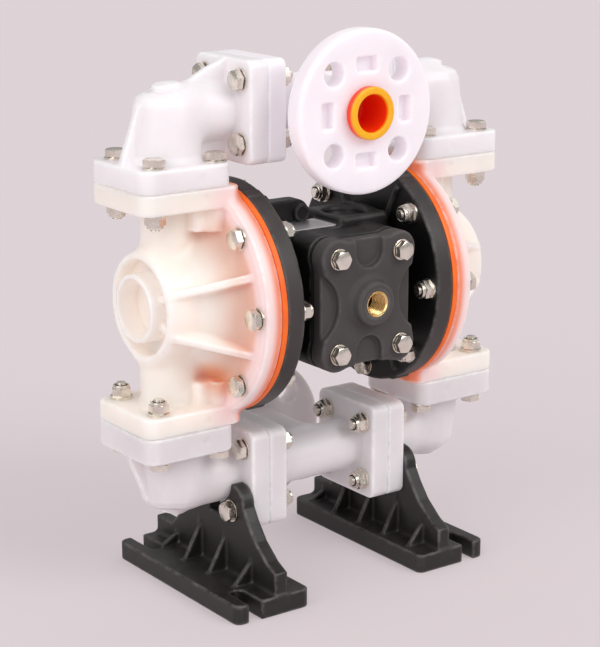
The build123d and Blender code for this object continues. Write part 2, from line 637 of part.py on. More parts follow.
def valve_cover():
    """Air valve cover: raised cross, four sunk fields, inlet boss."""
    y0 = VALVE_BODY_Y[1] - GASKET_T
    body = slab_y(valve_outline(), y0, VALVE_FACE_Y)
    front = body.faces().sort_by(Axis.Y)[0]
    body = fillet(front.edges(), 1.6)
    floor_y = VALVE_FACE_Y + RECESS_DEPTH
    for side in (-1, 1):
        lens = rod_y(SIDE_LENS_R, floor_y, VALVE_FACE_Y - 1, side * SIDE_LENS_X, 0)
        body = body - lens
        cup = rod_y(END_U_R, floor_y, VALVE_FACE_Y - 1, 0, side * END_U_Z)
        gate = block(-END_U_R, END_U_R, VALVE_FACE_Y - 1, floor_y, side * END_U_Z, side * 50)
        body = body - cup - gate
    body = body + turned_y([
        (0, VALVE_FACE_Y + 2), (VALVE_BOSS_R + 3.5, VALVE_FACE_Y + 2), (VALVE_BOSS_R + 3.5, VALVE_FACE_Y),
        (VALVE_BOSS_R + 1.2, VALVE_FACE_Y - 2.2), (VALVE_BOSS_R, VALVE_BOSS_Y + 1.5),
        (VALVE_BOSS_R - 1.5, VALVE_BOSS_Y), (0, VALVE_BOSS_Y)])
    body = body - rod_y(INSERT_R, VALVE_BOSS_Y - 1, VALVE_BOSS_Y + INSERT_L)
    body = body - rod_y(INLET_FEED_R, VALVE_BOSS_Y, y0 + 1)
    return drilled(body, valve_places(VALVE_FACE_Y), (0, -1, 0), BOLT_HOLE_R, 30)


def inlet_insert():
    """Brass insert with the air inlet thread."""
    y0 = VALVE_BOSS_Y
    return turned_y([
        (INLET_R + 0.7, y0), (INSERT_R, y0), (INSERT_R, y0 + INSERT_L), (INLET_R, y0 + INSERT_L),
        (INLET_R, y0 + 0.7)])


def spool_sleeve():
    """Sleeve that the valve spool slides in."""
    return ring_x(SLEEVE_R, SPOOL_R + RUN_GAP, -SLEEVE_HALF, SLEEVE_HALF, SPOOL_Y, 0)


def valve_spool():
    """Shuttle spool with three lands."""
    neck = rod_x(SPOOL_R - 2.2, -SPOOL_HALF, SPOOL_HALF, SPOOL_Y, 0)
    for x in (-SPOOL_HALF + 3.5, 0, SPOOL_HALF - 3.5):
        neck = neck + rod_x(SPOOL_R, x - 3.5, x + 3.5, SPOOL_Y, 0)
    return neck


def valve_end_plugs():
    """Plugs that close both ends of the spool bore."""
    ends = []
    for side in (-1, 1):
        ends.append(rod_x(SLEEVE_R, side * SLEEVE_HALF, side * VALVE_HALF_X, SPOOL_Y, 0))
    return ends


def silencer():
    """Exhaust silencer: threaded nose, hexagon and slotted barrel."""
    nose_y = BLOCK_HALF_Y - 8
    hex_y = BLOCK_HALF_Y + 4
    barrel_y = hex_y + 7
    body = turned_y([
        (0, nose_y), (EXHAUST_R - RUN_GAP, nose_y), (EXHAUST_R - RUN_GAP, hex_y), (12, hex_y),
        (12, barrel_y), (SILENCER_R, barrel_y + 1), (SILENCER_R, SILENCER_Y - 2),
        (SILENCER_R - 2, SILENCER_Y), (0, SILENCER_Y)])
    hexagon_part = slab_y(RegularPolygon(13.0, 6, major_radius=False), barrel_y, hex_y)
    body = body + hexagon_part
    for angle in range(0, 360, 45):
        slot = block(-1.2, 1.2, barrel_y + 4, SILENCER_Y - 5, SILENCER_R - 3, SILENCER_R + 1)
        body = body - Rot(0, angle, 0) * slot
    return body


# ---------------------------------------------------------------- feet
def foot():
    """Right foot: slotted base, curved web with two ears, gusset ribs."""
    floor_z = -SHAFT_Z
    top_z = floor_z + FOOT_T
    base = Pos((FOOT_IN_X + FOOT_OUT_X) / 2, (FOOT_FRONT_Y + FOOT_BACK_Y) / 2) * RectangleRounded(
        FOOT_OUT_X - FOOT_IN_X, FOOT_BACK_Y - FOOT_FRONT_Y, 5.0)
    body = slab_z(base, floor_z, top_z)
    body = chamfer(body.faces().sort_by(Axis.Z)[-1].edges(), 1.2)
    bolt_z = -ARM_Z - SQUARE_BOLT
    ear_z = bolt_z + 4.4
    front_ear = -SQUARE_BOLT
    outline = make_face([
        Line((FOOT_FRONT_Y + 1, top_z - 2), (FOOT_FRONT_Y + 1, -155.0)),
        ThreePointArc((FOOT_FRONT_Y + 1, -155.0), (-43.0, -141.5), (front_ear - EAR_R, ear_z)),
        ThreePointArc((front_ear - EAR_R, ear_z), (front_ear, ear_z + EAR_R), (front_ear + EAR_R, ear_z)),
        Line((front_ear + EAR_R, ear_z), (front_ear + EAR_R, VALLEY_Z)),
        Line((front_ear + EAR_R, VALLEY_Z), (-front_ear - EAR_R, VALLEY_Z)),
        Line((-front_ear - EAR_R, VALLEY_Z), (-front_ear - EAR_R, ear_z)),
        ThreePointArc((-front_ear - EAR_R, ear_z), (-front_ear, ear_z + EAR_R), (EAR_R - front_ear, ear_z)),
        ThreePointArc((EAR_R - front_ear, ear_z), (38.0, -145.0), (50.0, BACK_WEB_Z)),
        Line((50.0, BACK_WEB_Z), (FOOT_BACK_Y - 1, BACK_WEB_Z)),
        Line((FOOT_BACK_Y - 1, BACK_WEB_Z), (FOOT_BACK_Y - 1, top_z - 2)),
        Line((FOOT_BACK_Y - 1, top_z - 2), (FOOT_FRONT_Y + 1, top_z - 2))])
    body = body + slab_x(outline, *WEB_X)
    for y in (-38.0, -11.0, 16.0, 43.0):
        body = body + foot_rib(y, 79.0, top_z)
    for y in (-47.0, -21.5, 4.0, 29.5, 55.0):
        body = body + foot_rib(y, 46.0, top_z)
    body = body - rod_x(ELBOW_ARM_R + 0.6, WEB_X[0] - 1, WEB_X[1] + 1, 0, -ARM_Z)
    for side in (-1, 1):
        end_y = side * SLOT_END_Y
        body = body - rod_z(SLOT_R, floor_z - 1, top_z + 1, SLOT_X, end_y)
        body = body - block(SLOT_X - SLOT_R, SLOT_X + SLOT_R, end_y, side * 80, floor_z - 1, top_z + 1)
        body = body - rod_x(BOLT_HOLE_R, WEB_X[0] - 1, WEB_X[1] + 1, side * SQUARE_BOLT, bolt_z)
    return body


def web_height(y):
    """Height at which a gusset rib meets the web at a given y."""
    if abs(y) < 32:
        return VALLEY_Z - 3.0
    if y > 0:
        return BACK_WEB_Z - 1.5
    return -149.0


def foot_rib(y, far_x, top_z):
    """Triangular gusset between the web and the base."""
    near_x = sum(WEB_X) / 2
    face = make_face(Plane.XZ * Polyline(
        (near_x, top_z - 1), (far_x, top_z - 1), (far_x, top_z + 0.5), (near_x, web_height(y)),
        close=True))
    return Pos(0, y, 0) * extrude(face, WEB_RIB_T / 2, both=True)


# ---------------------------------------------------------------- write the nodes
def save(name, shapes):
    """Lift the pieces to the floor frame and write them as one node."""
    pieces = shapes if isinstance(shapes, list) else [shapes]
    solids = []
    for piece in pieces:
        solids.extend((Pos(0, 0, SHAFT_Z) * piece).solids())
    export_step(Compound(children=solids), os.path.join("parts", name + ".step"))


def save_pair(name, shape):
    """Write the right piece and its mirror image."""
    save(name + "_right", shape)
    save(name + "_left", other_side(shape))


def save_fasteners():
    """Write every group of screws and nuts."""
    reach = COVER_FACE_X - CHAMBER_BACK_X + WASHER_T + NUT_T + 2.0
    for side, name in ((1, "right"), (-1, "left")):
        heads = chamber_places(side * COVER_FACE_X)
        nuts = chamber_places(side * CHAMBER_BACK_X)
        screws = set_out(hex_screw(reach), heads, (side, 0, 0))
        short = hex_screw(COVER_FACE_X - CHAMBER_BACK_X - 1.0)
        screws += set_out(short, end_places(side * CHAMBER_BACK_X), (-side, 0, 0))
        save("chamber_bolts_" + name, screws)
        save("chamber_nuts_" + name, set_out(lock_nut(), nuts, (-side, 0, 0)))
    inner_z = PORT_SPLIT_Z - COVER_FLANGE_T
    for z_dir, name, thick in ((1, "discharge", TOP_FLANGE_T), (-1, "suction", BOTTOM_FLANGE_T)):
        head_z = z_dir * (PORT_SPLIT_Z + thick)
        heads = port_places(head_z) + port_places(head_z, -1)
        screw = hex_screw(thick + COVER_FLANGE_T + WASHER_T + NUT_T + 2.0)
        save(name + "_port_bolts", set_out(screw, heads, (0, 0, z_dir)))
        nuts = []
        for side in (1, -1):
            for x, y, z in port_places(z_dir * inner_z, side):
                if abs(x) > PORT_X:
                    nuts.append((x, y, z))
        save(name + "_port_nuts", set_out(lock_nut(), nuts, (0, 0, -z_dir)))


def save_manifold_fasteners():
    """Write the manifold screws and nuts; the low suction screws hold the feet."""
    outer_x = MANIFOLD_SPLIT_X + SQUARE_T
    inner_x = MANIFOLD_SPLIT_X - SQUARE_T
    stack = 2 * SQUARE_T + WASHER_T + NUT_T + 2.0
    for z, name in ((ARM_Z, "discharge"), (-ARM_Z, "suction")):
        screws = []
        nuts = []
        for side in (1, -1):
            for x, y, place_z in manifold_places(side * outer_x, z):
                extra = WEB_X[1] - WEB_X[0] if place_z < -ARM_Z else 0
                place = (x + side * extra, y, place_z)
                screws += set_out(hex_screw(stack + extra), [place], (side, 0, 0))
            nuts += set_out(lock_nut(), manifold_places(side * inner_x, z), (-side, 0, 0))
        save(name + "_manifold_bolts", screws)
        save(name + "_manifold_nuts", nuts)


def main():
    """Build every node of the pump."""
    os.makedirs("parts", exist_ok=True)
    save_pair("fluid_cover", fluid_cover())
    save_pair("discharge_elbow", elbow(TOP_FLANGE_T, True, True))
    save_pair("suction_elbow", upside_down(elbow(BOTTOM_FLANGE_T, False, False)))
    front_tee = tee()
    save("discharge_tee", front_tee)
    save("suction_tee", Rot(180, 0, 0) * front_tee)
    save("discharge_plug", transit_plug())
    save("suction_plug", Rot(180, 0, 0) * transit_plug())
    for z, name in ((PORT_SPLIT_Z, "discharge"), (-PORT_SPLIT_Z, "suction")):
        save_pair(name + "_seat", valve_seat(z))
        save_pair(name + "_ball", valve_ball(z))
    save_pair("diaphragm", diaphragm())
    save_pair("inner_plate", inner_plate())
    save_pair("outer_plate", outer_plate())
    save("shaft", shaft())
    save("pilot_rod", pilot_rod())
    save_pair("air_chamber", air_chamber())
    save("center_block", center_block())
    bush = ring_x(BUSH_R, SHAFT_R + RUN_GAP, *BUSH_X)
    seal = ring_x(SEAL_R, SHAFT_R + RUN_GAP, *SEAL_X)
    save("shaft_bushes", [bush, other_side(bush)])
    save("shaft_seals", [seal, other_side(seal)])
    save("valve_body", valve_body())
    save("valve_gasket", valve_gasket())
    save("valve_cover", valve_cover())
    save("air_inlet_insert", inlet_insert())
    save("spool_sleeve", spool_sleeve())
    save("valve_spool", valve_spool())
    save("valve_end_plugs", valve_end_plugs())
    screw = hex_screw(VALVE_BODY_Y[0] - VALVE_FACE_Y + 11)
    save("valve_cover_bolts", set_out(screw, valve_places(VALVE_FACE_Y), (0, -1, 0)))
    save("silencer", silencer())
    save_pair("foot", foot())
    save_fasteners()
    save_manifold_fasteners()


main()
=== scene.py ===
"""Air operated double diaphragm pump: moulded skins, fasteners and finishes over the frame.

Sizes are in millimetres about the middle of the pump's shaft, as a maker would dimension it:
+X along the shaft, -Y towards the air valve, +Z up.  `Skin`, `points_mesh` and `grow` turn them
into metres and lift them by SHAFT_HEIGHT, so that the feet stand on the floor.  Finishes read
places in metres.
"""
from __future__ import annotations

import logging
import math
import sys
from dataclasses import dataclass, field
from enum import Enum
from typing import Callable, Sequence

import bmesh
import bpy
import numpy as np
import openvdb
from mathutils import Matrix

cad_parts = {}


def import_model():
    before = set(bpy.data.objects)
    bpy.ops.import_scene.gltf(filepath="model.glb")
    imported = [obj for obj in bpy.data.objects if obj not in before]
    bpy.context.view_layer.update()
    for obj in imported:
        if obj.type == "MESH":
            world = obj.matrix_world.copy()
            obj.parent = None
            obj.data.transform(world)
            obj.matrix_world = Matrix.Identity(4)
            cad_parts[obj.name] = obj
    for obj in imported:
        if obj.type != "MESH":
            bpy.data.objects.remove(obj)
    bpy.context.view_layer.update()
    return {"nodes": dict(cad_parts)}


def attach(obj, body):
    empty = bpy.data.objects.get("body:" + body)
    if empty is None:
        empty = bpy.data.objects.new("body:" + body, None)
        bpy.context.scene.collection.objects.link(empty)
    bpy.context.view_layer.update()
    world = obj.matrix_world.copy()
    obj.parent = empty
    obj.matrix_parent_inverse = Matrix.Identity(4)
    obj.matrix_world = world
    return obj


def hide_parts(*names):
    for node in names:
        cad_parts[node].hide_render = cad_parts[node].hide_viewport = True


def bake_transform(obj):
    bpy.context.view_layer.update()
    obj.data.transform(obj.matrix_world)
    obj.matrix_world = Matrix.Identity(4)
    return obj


LOG = logging.getLogger("pump")

MM = 0.001
SHAFT_HEIGHT = 180.2
BAND = 8.0                       # distances are kept within this many mm of a surface
VOXEL = 0.85                     # grid step of a moulded piece
OVER = 8.0                       # how far a cut reaches past the surface that it opens
MARK_RADIUS = 2.5                # round ejector marks on the port flanges
MARK_DEPTH = 0.45
CREASE = 35.0                    # degrees above which a plain mesh's edge stays sharp
HEAD_CREASE = 32.0               # the same for screws and nuts
CORNER_STEPS = 4                 # chords in each rounded corner of a turned piece
LATHE_FACES = 96                 # faces round a turned piece
BODY = "pump_body"
SHAFT = "shaft_assembly"

Point = tuple[float, float, float]
Pair = tuple[float, float]
Grid = np.ndarray
Colour = tuple[float, float, float, float]
Socket = bpy.types.NodeSocket
NodeTree = bpy.types.NodeTree
Piece = bpy.types.Object


# ------------------------------------------------------------------ shared sizes
@dataclass(frozen=True)
class PumpSizes:
    """Sizes that more than one sub-assembly meets, in mm."""

    cover_in: float = 63.9
    cover_face: float = 75.5
    body_radius: float = 69.0
    chamber_front: float = 60.5
    chamber_back: float = 48.5
    bolt_circle: float = 60.9
    port_x: float = 97.0
    port_split: float = 70.5
    cover_flange: float = 12.0
    top_flange: float = 13.5
    bottom_flange: float = 15.5
    flange_out: float = 130.0
    flange_half_y: float = 30.0
    flange_corner: float = 8.0
    port_bolt_dx: float = 20.3
    port_bolt_dy: float = 20.9
    arm_z: float = 110.0
    square_split: float = 45.0
    square_thickness: float = 12.5
    square_bolt: float = 18.4
    square_half: Pair = (28.5, 30.0)
    square_corner: float = 5.0
    foot_web: Pair = (57.5, 66.4)
    cage_radius: float = 11.5
    seat_radius: float = 13.05
    seat_thickness: float = 5.0
    cage_height: float = 25.48
    port_bore: float = 8.0
    pilot_y: float = -18.5
    pilot_bore: float = 3.05
    pipe_face_y: float = -61.6
    valve_bolt: Pair = (22.75, 28.25)
    valve_face_y: float = -65.6


SIZES = PumpSizes()


def new_object(name: str, data: bpy.types.ID | None) -> Piece:
    """Makes an object in the scene at the origin."""
    made = bpy.data.objects.new(name, data)
    bpy.context.scene.collection.objects.link(made)
    return made


def feed(tree: NodeTree, node: bpy.types.Node, values: dict) -> bpy.types.Node:
    """Sets a node's inputs, by name or number, to values or to the sockets that feed them."""
    for key, value in values.items():
        if isinstance(value, Socket):
            tree.links.new(value, node.inputs[key])
        else:
            node.inputs[key].default_value = value
    return node


class Axis(Enum):
    """A direction of the pump."""

    X = 0
    Y = 1
    Z = 2

    @property
    def across(self) -> tuple[int, int]:
        """The two other directions, in order."""
        return {0: (1, 2), 1: (0, 2), 2: (0, 1)}[self.value]


# ------------------------------------------------------------------ flat outlines
class Outline:
    """A flat shape with a distance from its edge, negative inside."""

    def distance(self, u: Grid, v: Grid) -> Grid:
        """Signed distance of the points (u, v)."""
        raise NotImplementedError

    def reach(self) -> tuple[float, float, float, float]:
        """Lowest and highest u and v, as (u0, v0, u1, v1)."""
        raise NotImplementedError


@dataclass(frozen=True)
class Disc(Outline):
    """Round outline."""

    centre: Pair
    radius: float

    def distance(self, u: Grid, v: Grid) -> Grid:
        """Signed distance of the points (u, v)."""
        return np.sqrt((u - self.centre[0]) ** 2 + (v - self.centre[1]) ** 2) - self.radius

    def reach(self) -> tuple[float, float, float, float]:
        """Lowest and highest u and v."""
        (u, v), r = self.centre, self.radius
        return u - r, v - r, u + r, v + r


@dataclass(frozen=True)
class Plate(Outline):
    """Rectangle with round corners."""

    centre: Pair
    half: Pair
    corner: float = 0.0

    def distance(self, u: Grid, v: Grid) -> Grid:
        """Signed distance of the points (u, v)."""
        a = np.abs(u - self.centre[0]) - self.half[0] + self.corner
        b = np.abs(v - self.centre[1]) - self.half[1] + self.corner
        outside = np.sqrt(np.maximum(a, 0) ** 2 + np.maximum(b, 0) ** 2)
        return outside + np.minimum(np.maximum(a, b), 0) - self.corner

    def reach(self) -> tuple[float, float, float, float]:
        """Lowest and highest u and v."""
        (u, v), (a, b) = self.centre, self.half
        return u - a, v - b, u + a, v + b


@dataclass(frozen=True)
class Polygon(Outline):
    """Closed outline through a few corners."""

    corners: tuple[Pair, ...]

    def distance(self, u: Grid, v: Grid) -> Grid:
        """Signed distance of the points (u, v)."""
        u, v = np.broadcast_arrays(u, v)
        nearest = np.full(u.shape, 1e9, np.float32)
        inside = np.zeros(u.shape, bool)
        for (u0, v0), (u1, v1) in zip(self.corners, self.corners[1:] + self.corners[:1]):
            du, dv = u1 - u0, v1 - v0
            along = np.clip(((u - u0) * du + (v - v0) * dv) / (du * du + dv * dv), 0, 1)
            gap = (u - u0 - along * du) ** 2 + (v - v0 - along * dv) ** 2
            nearest = np.minimum(nearest, gap)
            if v0 != v1:
                crosses = (v0 > v) != (v1 > v)
                inside ^= crosses & (u < du * (v - v0) / dv + u0)
        return np.where(inside, -1, 1) * np.sqrt(nearest)

    def reach(self) -> tuple[float, float, float, float]:
        """Lowest and highest u and v."""
        us, vs = zip(*self.corners)
        return min(us), min(vs), max(us), max(vs)


@dataclass(frozen=True)
class Merged(Outline):
    """Several outlines run together with a soft fillet."""

    parts: tuple[Outline, ...]
    blend: float

    def distance(self, u: Grid, v: Grid) -> Grid:
        """Signed distance of the points (u, v)."""
        total = self.parts[0].distance(u, v)
        for part in self.parts[1:]:
            total = soft_min(total, part.distance(u, v), self.blend)
        return total

    def reach(self) -> tuple[float, float, float, float]:
        """Lowest and highest u and v."""
        spans = [part.reach() for part in self.parts]
        low = [min(s[i] for s in spans) for i in (0, 1)]
        high = [max(s[i] for s in spans) for i in (2, 3)]
        return low[0], low[1], high[0], high[1]


def arc(centre: Pair, radius: float, start: float, end: float, steps: int) -> list[Pair]:
    """Points along an arc.

    Args:
        centre: Middle of the arc.
        radius: Its radius.
        start: First angle in degrees.
        end: Last angle in degrees.
        steps: Number of chords.

    Returns:
        steps + 1 points from start to end.
    """
    angles = np.radians(np.linspace(start, end, steps + 1))
    return [(centre[0] + radius * math.cos(a), centre[1] + radius * math.sin(a)) for a in angles]


# ------------------------------------------------------------------ solids
def soft_min(a: Grid, b: Grid, blend: float) -> Grid:
    """Smaller of two distances, with a fillet where they meet.

    Args:
        a: First distances.
        b: Second distances.
        blend: Reach of the fillet, 0 for a sharp corner.

    Returns:
        The merged distances.
    """
    if blend <= 0:
        return np.minimum(a, b)
    near = np.maximum(blend - np.abs(a - b), 0)
    return np.minimum(a, b) - near * near * (0.25 / blend)


class Solid:
    """A shape with a signed distance, in a box."""

    low: Point
    high: Point

    def distance(self, x: Grid, y: Grid, z: Grid) -> Grid:
        """Signed distance of the points (x, y, z)."""
        raise NotImplementedError


def box_of(axis: Axis, along: Pair, across: Sequence[Pair]) -> tuple[Point, Point]:
    """Lowest and highest corner, from the spans along an axis and across it."""
    low, high = [0.0] * 3, [0.0] * 3
    for i, (start, end) in zip((axis.value, *axis.across), (along, *across)):
        low[i], high[i] = start, end
    return tuple(low), tuple(high)


class Slab(Solid):
    """A flat outline made thick along an axis, with rounded edges."""

    def __init__(self, axis: Axis, outline: Outline, start: float, end: float,
                 edge: float = 1.0) -> None:
        """Stores the shape.

        Args:
            axis: Direction of its thickness.
            outline: Its shape across that direction.
            start: One face.
            end: The other face.
            edge: Radius of the edges.
        """
        self.axis = axis
        self.outline = outline
        self.span = (min(start, end), max(start, end))
        self.edge = edge
        u0, v0, u1, v1 = outline.reach()
        self.low, self.high = box_of(axis, self.span, ((u0, u1), (v0, v1)))

    def distance(self, x: Grid, y: Grid, z: Grid) -> Grid:
        """Signed distance of the points (x, y, z)."""
        axes = (x, y, z)
        i, j = self.axis.across
        flat = self.outline.distance(axes[i], axes[j]) + self.edge
        middle = (self.span[0] + self.span[1]) / 2
        half = (self.span[1] - self.span[0]) / 2
        along = np.abs(axes[self.axis.value] - middle) - half + self.edge
        outside = np.sqrt(np.maximum(flat, 0) ** 2 + np.maximum(along, 0) ** 2)
        return outside + np.minimum(np.maximum(flat, along), 0) - self.edge


def bar(axis: Axis, centre: Pair, radius: float, start: float, end: float,
        edge: float = 1.0) -> Slab:
    """Round bar along an axis; centre is given in the two other directions, in order."""
    return Slab(axis, Disc(centre, radius), start, end, edge)


def block(low: Point, high: Point, corner: float = 1.0, edge: float = 1.0) -> Slab:
    """Rectangular block between two corners, with rounded edges."""
    centre = ((low[0] + high[0]) / 2, (low[1] + high[1]) / 2)
    half = ((high[0] - low[0]) / 2, (high[1] - low[1]) / 2)
    return Slab(Axis.Z, Plate(centre, half, corner), low[2], high[2], edge)


class Turned(Solid):
    """A solid turned about an axis from a profile of (place along it, radius) corners."""

    STEP = 0.2

    def __init__(self, axis: Axis, centre: Pair, profile: Sequence[Pair]) -> None:
        """Stores the shape.

        Args:
            axis: Axis of turning.
            centre: Place of the axis in the two other directions.
            profile: Corners of the half section.
        """
        self.axis = axis
        self.centre = centre
        mirror = [(t, -r) for t, r in reversed(profile) if r > 0]
        self.section = Polygon(tuple(profile) + tuple(mirror))
        ends, radii = zip(*profile)
        radius = max(radii)
        self.low, self.high = box_of(axis, (min(ends), max(ends)),
                                     [(c - radius, c + radius) for c in centre])

    def distance(self, x: Grid, y: Grid, z: Grid) -> Grid:
        """Signed distance of the points (x, y, z), read from a table of the half section."""
        axes = (x, y, z)
        i, j = self.axis.across
        radius = np.sqrt((axes[i] - self.centre[0]) ** 2 + (axes[j] - self.centre[1]) ** 2)
        along = axes[self.axis.value].ravel()
        reach = np.arange(0, float(radius.max()) + self.STEP, self.STEP, dtype=np.float32)
        table = self.section.distance(along[:, None], reach[None, :])
        shape = [1, 1, 1]
        shape[self.axis.value] = len(along)
        full = np.broadcast_shapes(radius.shape, tuple(shape))
        result = np.empty(full, np.float32)
        for k in range(len(along)):
            cut: list[slice | int] = [slice(None)] * 3
            cut[self.axis.value] = slice(k, k + 1)
            result[tuple(cut)] = np.interp(radius, reach, table[k])
        return result


@dataclass
class Ball(Solid):
    """A ball."""

    centre: Point
    radius: float

    def __post_init__(self) -> None:
        """Works out the box."""
        self.low = tuple(c - self.radius for c in self.centre)
        self.high = tuple(c + self.radius for c in self.centre)

    def distance(self, x: Grid, y: Grid, z: Grid) -> Grid:
        """Signed distance of the points (x, y, z)."""
        cx, cy, cz = self.centre
        return np.sqrt((x - cx) ** 2 + (y - cy) ** 2 + (z - cz) ** 2) - self.radius


class Spun(Solid):
    """Another solid turned by an angle about an axis parallel to X or Y."""

    def __init__(self, solid: Solid, angle: float, axis: Axis = Axis.X,
                 centre: Pair = (0.0, 0.0)) -> None:
        """Stores the turn.

        Args:
            solid: The shape to turn.
            angle: Degrees, from the first across direction towards the second.
            axis: Axis of the turn.
            centre: Place of that axis in its across directions.
        """
        self.solid = solid
        self.axis = axis
        self.centre = centre
        self.cos = math.cos(math.radians(angle))
        self.sin = math.sin(math.radians(angle))
        i, j = axis.across
        corners = [(u, v) for u in (solid.low[i], solid.high[i])
                   for v in (solid.low[j], solid.high[j])]
        turned = [self._forward(u - centre[0], v - centre[1]) for u, v in corners]
        low, high = list(solid.low), list(solid.high)
        for k, middle in ((0, centre[0]), (1, centre[1])):
            low[(i, j)[k]] = min(p[k] for p in turned) + middle
            high[(i, j)[k]] = max(p[k] for p in turned) + middle
        self.low, self.high = tuple(low), tuple(high)

    def _forward(self, u: float, v: float) -> Pair:
        """A point about the centre, turned by the angle."""
        return u * self.cos - v * self.sin, u * self.sin + v * self.cos

    def distance(self, x: Grid, y: Grid, z: Grid) -> Grid:
        """Signed distance of the points (x, y, z)."""
        axes = [x, y, z]
        i, j = self.axis.across
        u, v = axes[i] - self.centre[0], axes[j] - self.centre[1]
        axes[i] = u * self.cos + v * self.sin + self.centre[0]
        axes[j] = v * self.cos - u * self.sin + self.centre[1]
        return self.solid.distance(*axes)


# ------------------------------------------------------------------ moulded skins
@dataclass
class Skin:
    """A closed surface of four-sided faces, in mm about the shaft."""

    points: Grid
    faces: Grid
    edge: Grid

    def mirrored(self, axis: Axis) -> "Skin":
        """The same skin on the other side of the pump's middle."""
        points = self.points.copy()
        points[:, axis.value] *= -1
        return Skin(points, self.faces[:, ::-1], self.edge)

    def placed(self, name: str) -> Piece:
        """The skin as an object in the frame.

        Args:
            name: Name of the piece.

        Returns:
            An object at the origin with smooth faces and an "edge" attribute.
        """
        mesh = bpy.data.meshes.new(name)
        lifted = self.points + np.array((0, 0, SHAFT_HEIGHT))
        mesh.vertices.add(len(lifted))
        mesh.vertices.foreach_set("co", (lifted * MM).astype(np.float32).ravel())
        mesh.loops.add(self.faces.size)
        mesh.loops.foreach_set("vertex_index", self.faces.astype(np.int32).ravel())
        mesh.polygons.add(len(self.faces))
        mesh.polygons.foreach_set("loop_start", np.arange(0, self.faces.size, 4, dtype=np.int32))
        mesh.update(calc_edges=True)
        mesh.validate()
        mesh.shade_smooth()
        wear = mesh.attributes.new("edge", "FLOAT", "POINT")
        wear.data.foreach_set("value", self.edge.astype(np.float32))
        return new_object(name, mesh)


class Mould:
    """A casting built up on a grid of distances, with fillets where its shapes meet."""

    def __init__(self, low: Point, high: Point, voxel: float = VOXEL) -> None:
        """Makes an empty grid.

        Args:
            low: Lowest corner of the casting.
            high: Highest corner of the casting.
            voxel: Grid step.
        """
        self.voxel = voxel * 1.0
        margin = 3 * self.voxel
        self.origin = np.array(low) - margin
        counts = np.ceil((np.array(high) - self.origin + margin) / self.voxel).astype(int) + 1
        self.axes = [(self.origin[i] + self.voxel * np.arange(counts[i])).astype(np.float32)
                     for i in range(3)]
        self.field = np.full(tuple(counts), BAND, np.float32)

    def _window(self, solid: Solid) -> tuple[tuple[slice, slice, slice], list[Grid]]:
        """The part of the grid that a solid can change, and its coordinates."""
        cuts = []
        for i in range(3):
            first = int(np.searchsorted(self.axes[i], solid.low[i] - BAND))
            last = int(np.searchsorted(self.axes[i], solid.high[i] + BAND))
            cuts.append(slice(first, max(last, first)))
        x = self.axes[0][cuts[0]][:, None, None]
        y = self.axes[1][cuts[1]][None, :, None]
        z = self.axes[2][cuts[2]][None, None, :]
        return (cuts[0], cuts[1], cuts[2]), [x, y, z]

    def add(self, solid: Solid, blend: float = 0.0) -> "Mould":
        """Adds a solid, with a fillet that reaches blend mm."""
        window, coords = self._window(solid)
        if 0 not in self.field[window].shape:
            near = np.clip(solid.distance(*coords), -BAND, BAND)
            self.field[window] = soft_min(self.field[window], near, blend)
        return self

    def cut(self, solid: Solid, blend: float = 0.0) -> "Mould":
        """Takes a solid away, with a round of blend mm at the mouth."""
        window, coords = self._window(solid)
        if 0 not in self.field[window].shape:
            near = np.clip(solid.distance(*coords), -BAND, BAND)
            self.field[window] = -soft_min(-self.field[window], near, blend)
        return self

    def _edge_field(self) -> Grid:
        """How far each place lies on an outer edge (above 0) or in a corner (below 0)."""
        soft = np.clip(self.field, -4 * self.voxel, 4 * self.voxel)
        sharp = soft.copy()
        for _ in range(2):
            for axis in range(3):
                padded = np.concatenate([soft.take([0], axis), soft, soft.take([-1], axis)], axis)
                size = soft.shape[axis]
                soft = sum(padded.take(range(k, k + size), axis) for k in range(3)) / 3
        return (soft - sharp) / self.voxel

    def skin(self) -> Skin:
        """The casting's surface."""
        grid = openvdb.FloatGrid(3 * self.voxel)
        limit = 3 * self.voxel
        grid.copyFromArray(np.clip(self.field, -limit, limit))
        points, faces = grid.convertToQuads(isovalue=0.0)
        edge = self._edge_field()
        cell = np.clip(points.astype(int), 0, np.array(edge.shape) - 2)
        part = points - cell
        value = np.zeros(len(points), np.float32)
        for corner in range(8):
            offset = np.array([corner & 1, corner >> 1 & 1, corner >> 2 & 1])
            weight = np.prod(np.where(offset == 1, part, 1 - part), axis=1)
            i, j, k = (cell + offset).T
            value += weight * edge[i, j, k]
        placed = points * self.voxel + self.origin
        return Skin(placed, faces[:, ::-1], value)


# ------------------------------------------------------------------ plain meshes
def points_mesh(name: str, points: Sequence[Point],
                faces: Sequence[Sequence[int]]) -> Piece:
    """Makes a piece from points in mm and faces.

    Args:
        name: Name of the piece.
        points: Corners in mm about the shaft.
        faces: Corner numbers of each face.

    Returns:
        The piece's object, at the origin.
    """
    mesh = bpy.data.meshes.new(name)
    mesh.from_pydata([(x * MM, y * MM, (z + SHAFT_HEIGHT) * MM) for x, y, z in points], [], faces)
    tidy_normals(mesh)
    mesh.shade_smooth()
    mesh.set_sharp_from_angle(angle=math.radians(CREASE))
    return new_object(name, mesh)


def tidy_normals(mesh: bpy.types.Mesh) -> None:
    """Joins doubled points and turns every face outwards."""
    work = bmesh.new()
    work.from_mesh(mesh)
    bmesh.ops.remove_doubles(work, verts=work.verts, dist=1e-6)
    bmesh.ops.recalc_face_normals(work, faces=work.faces)
    work.to_mesh(mesh)
    work.free()


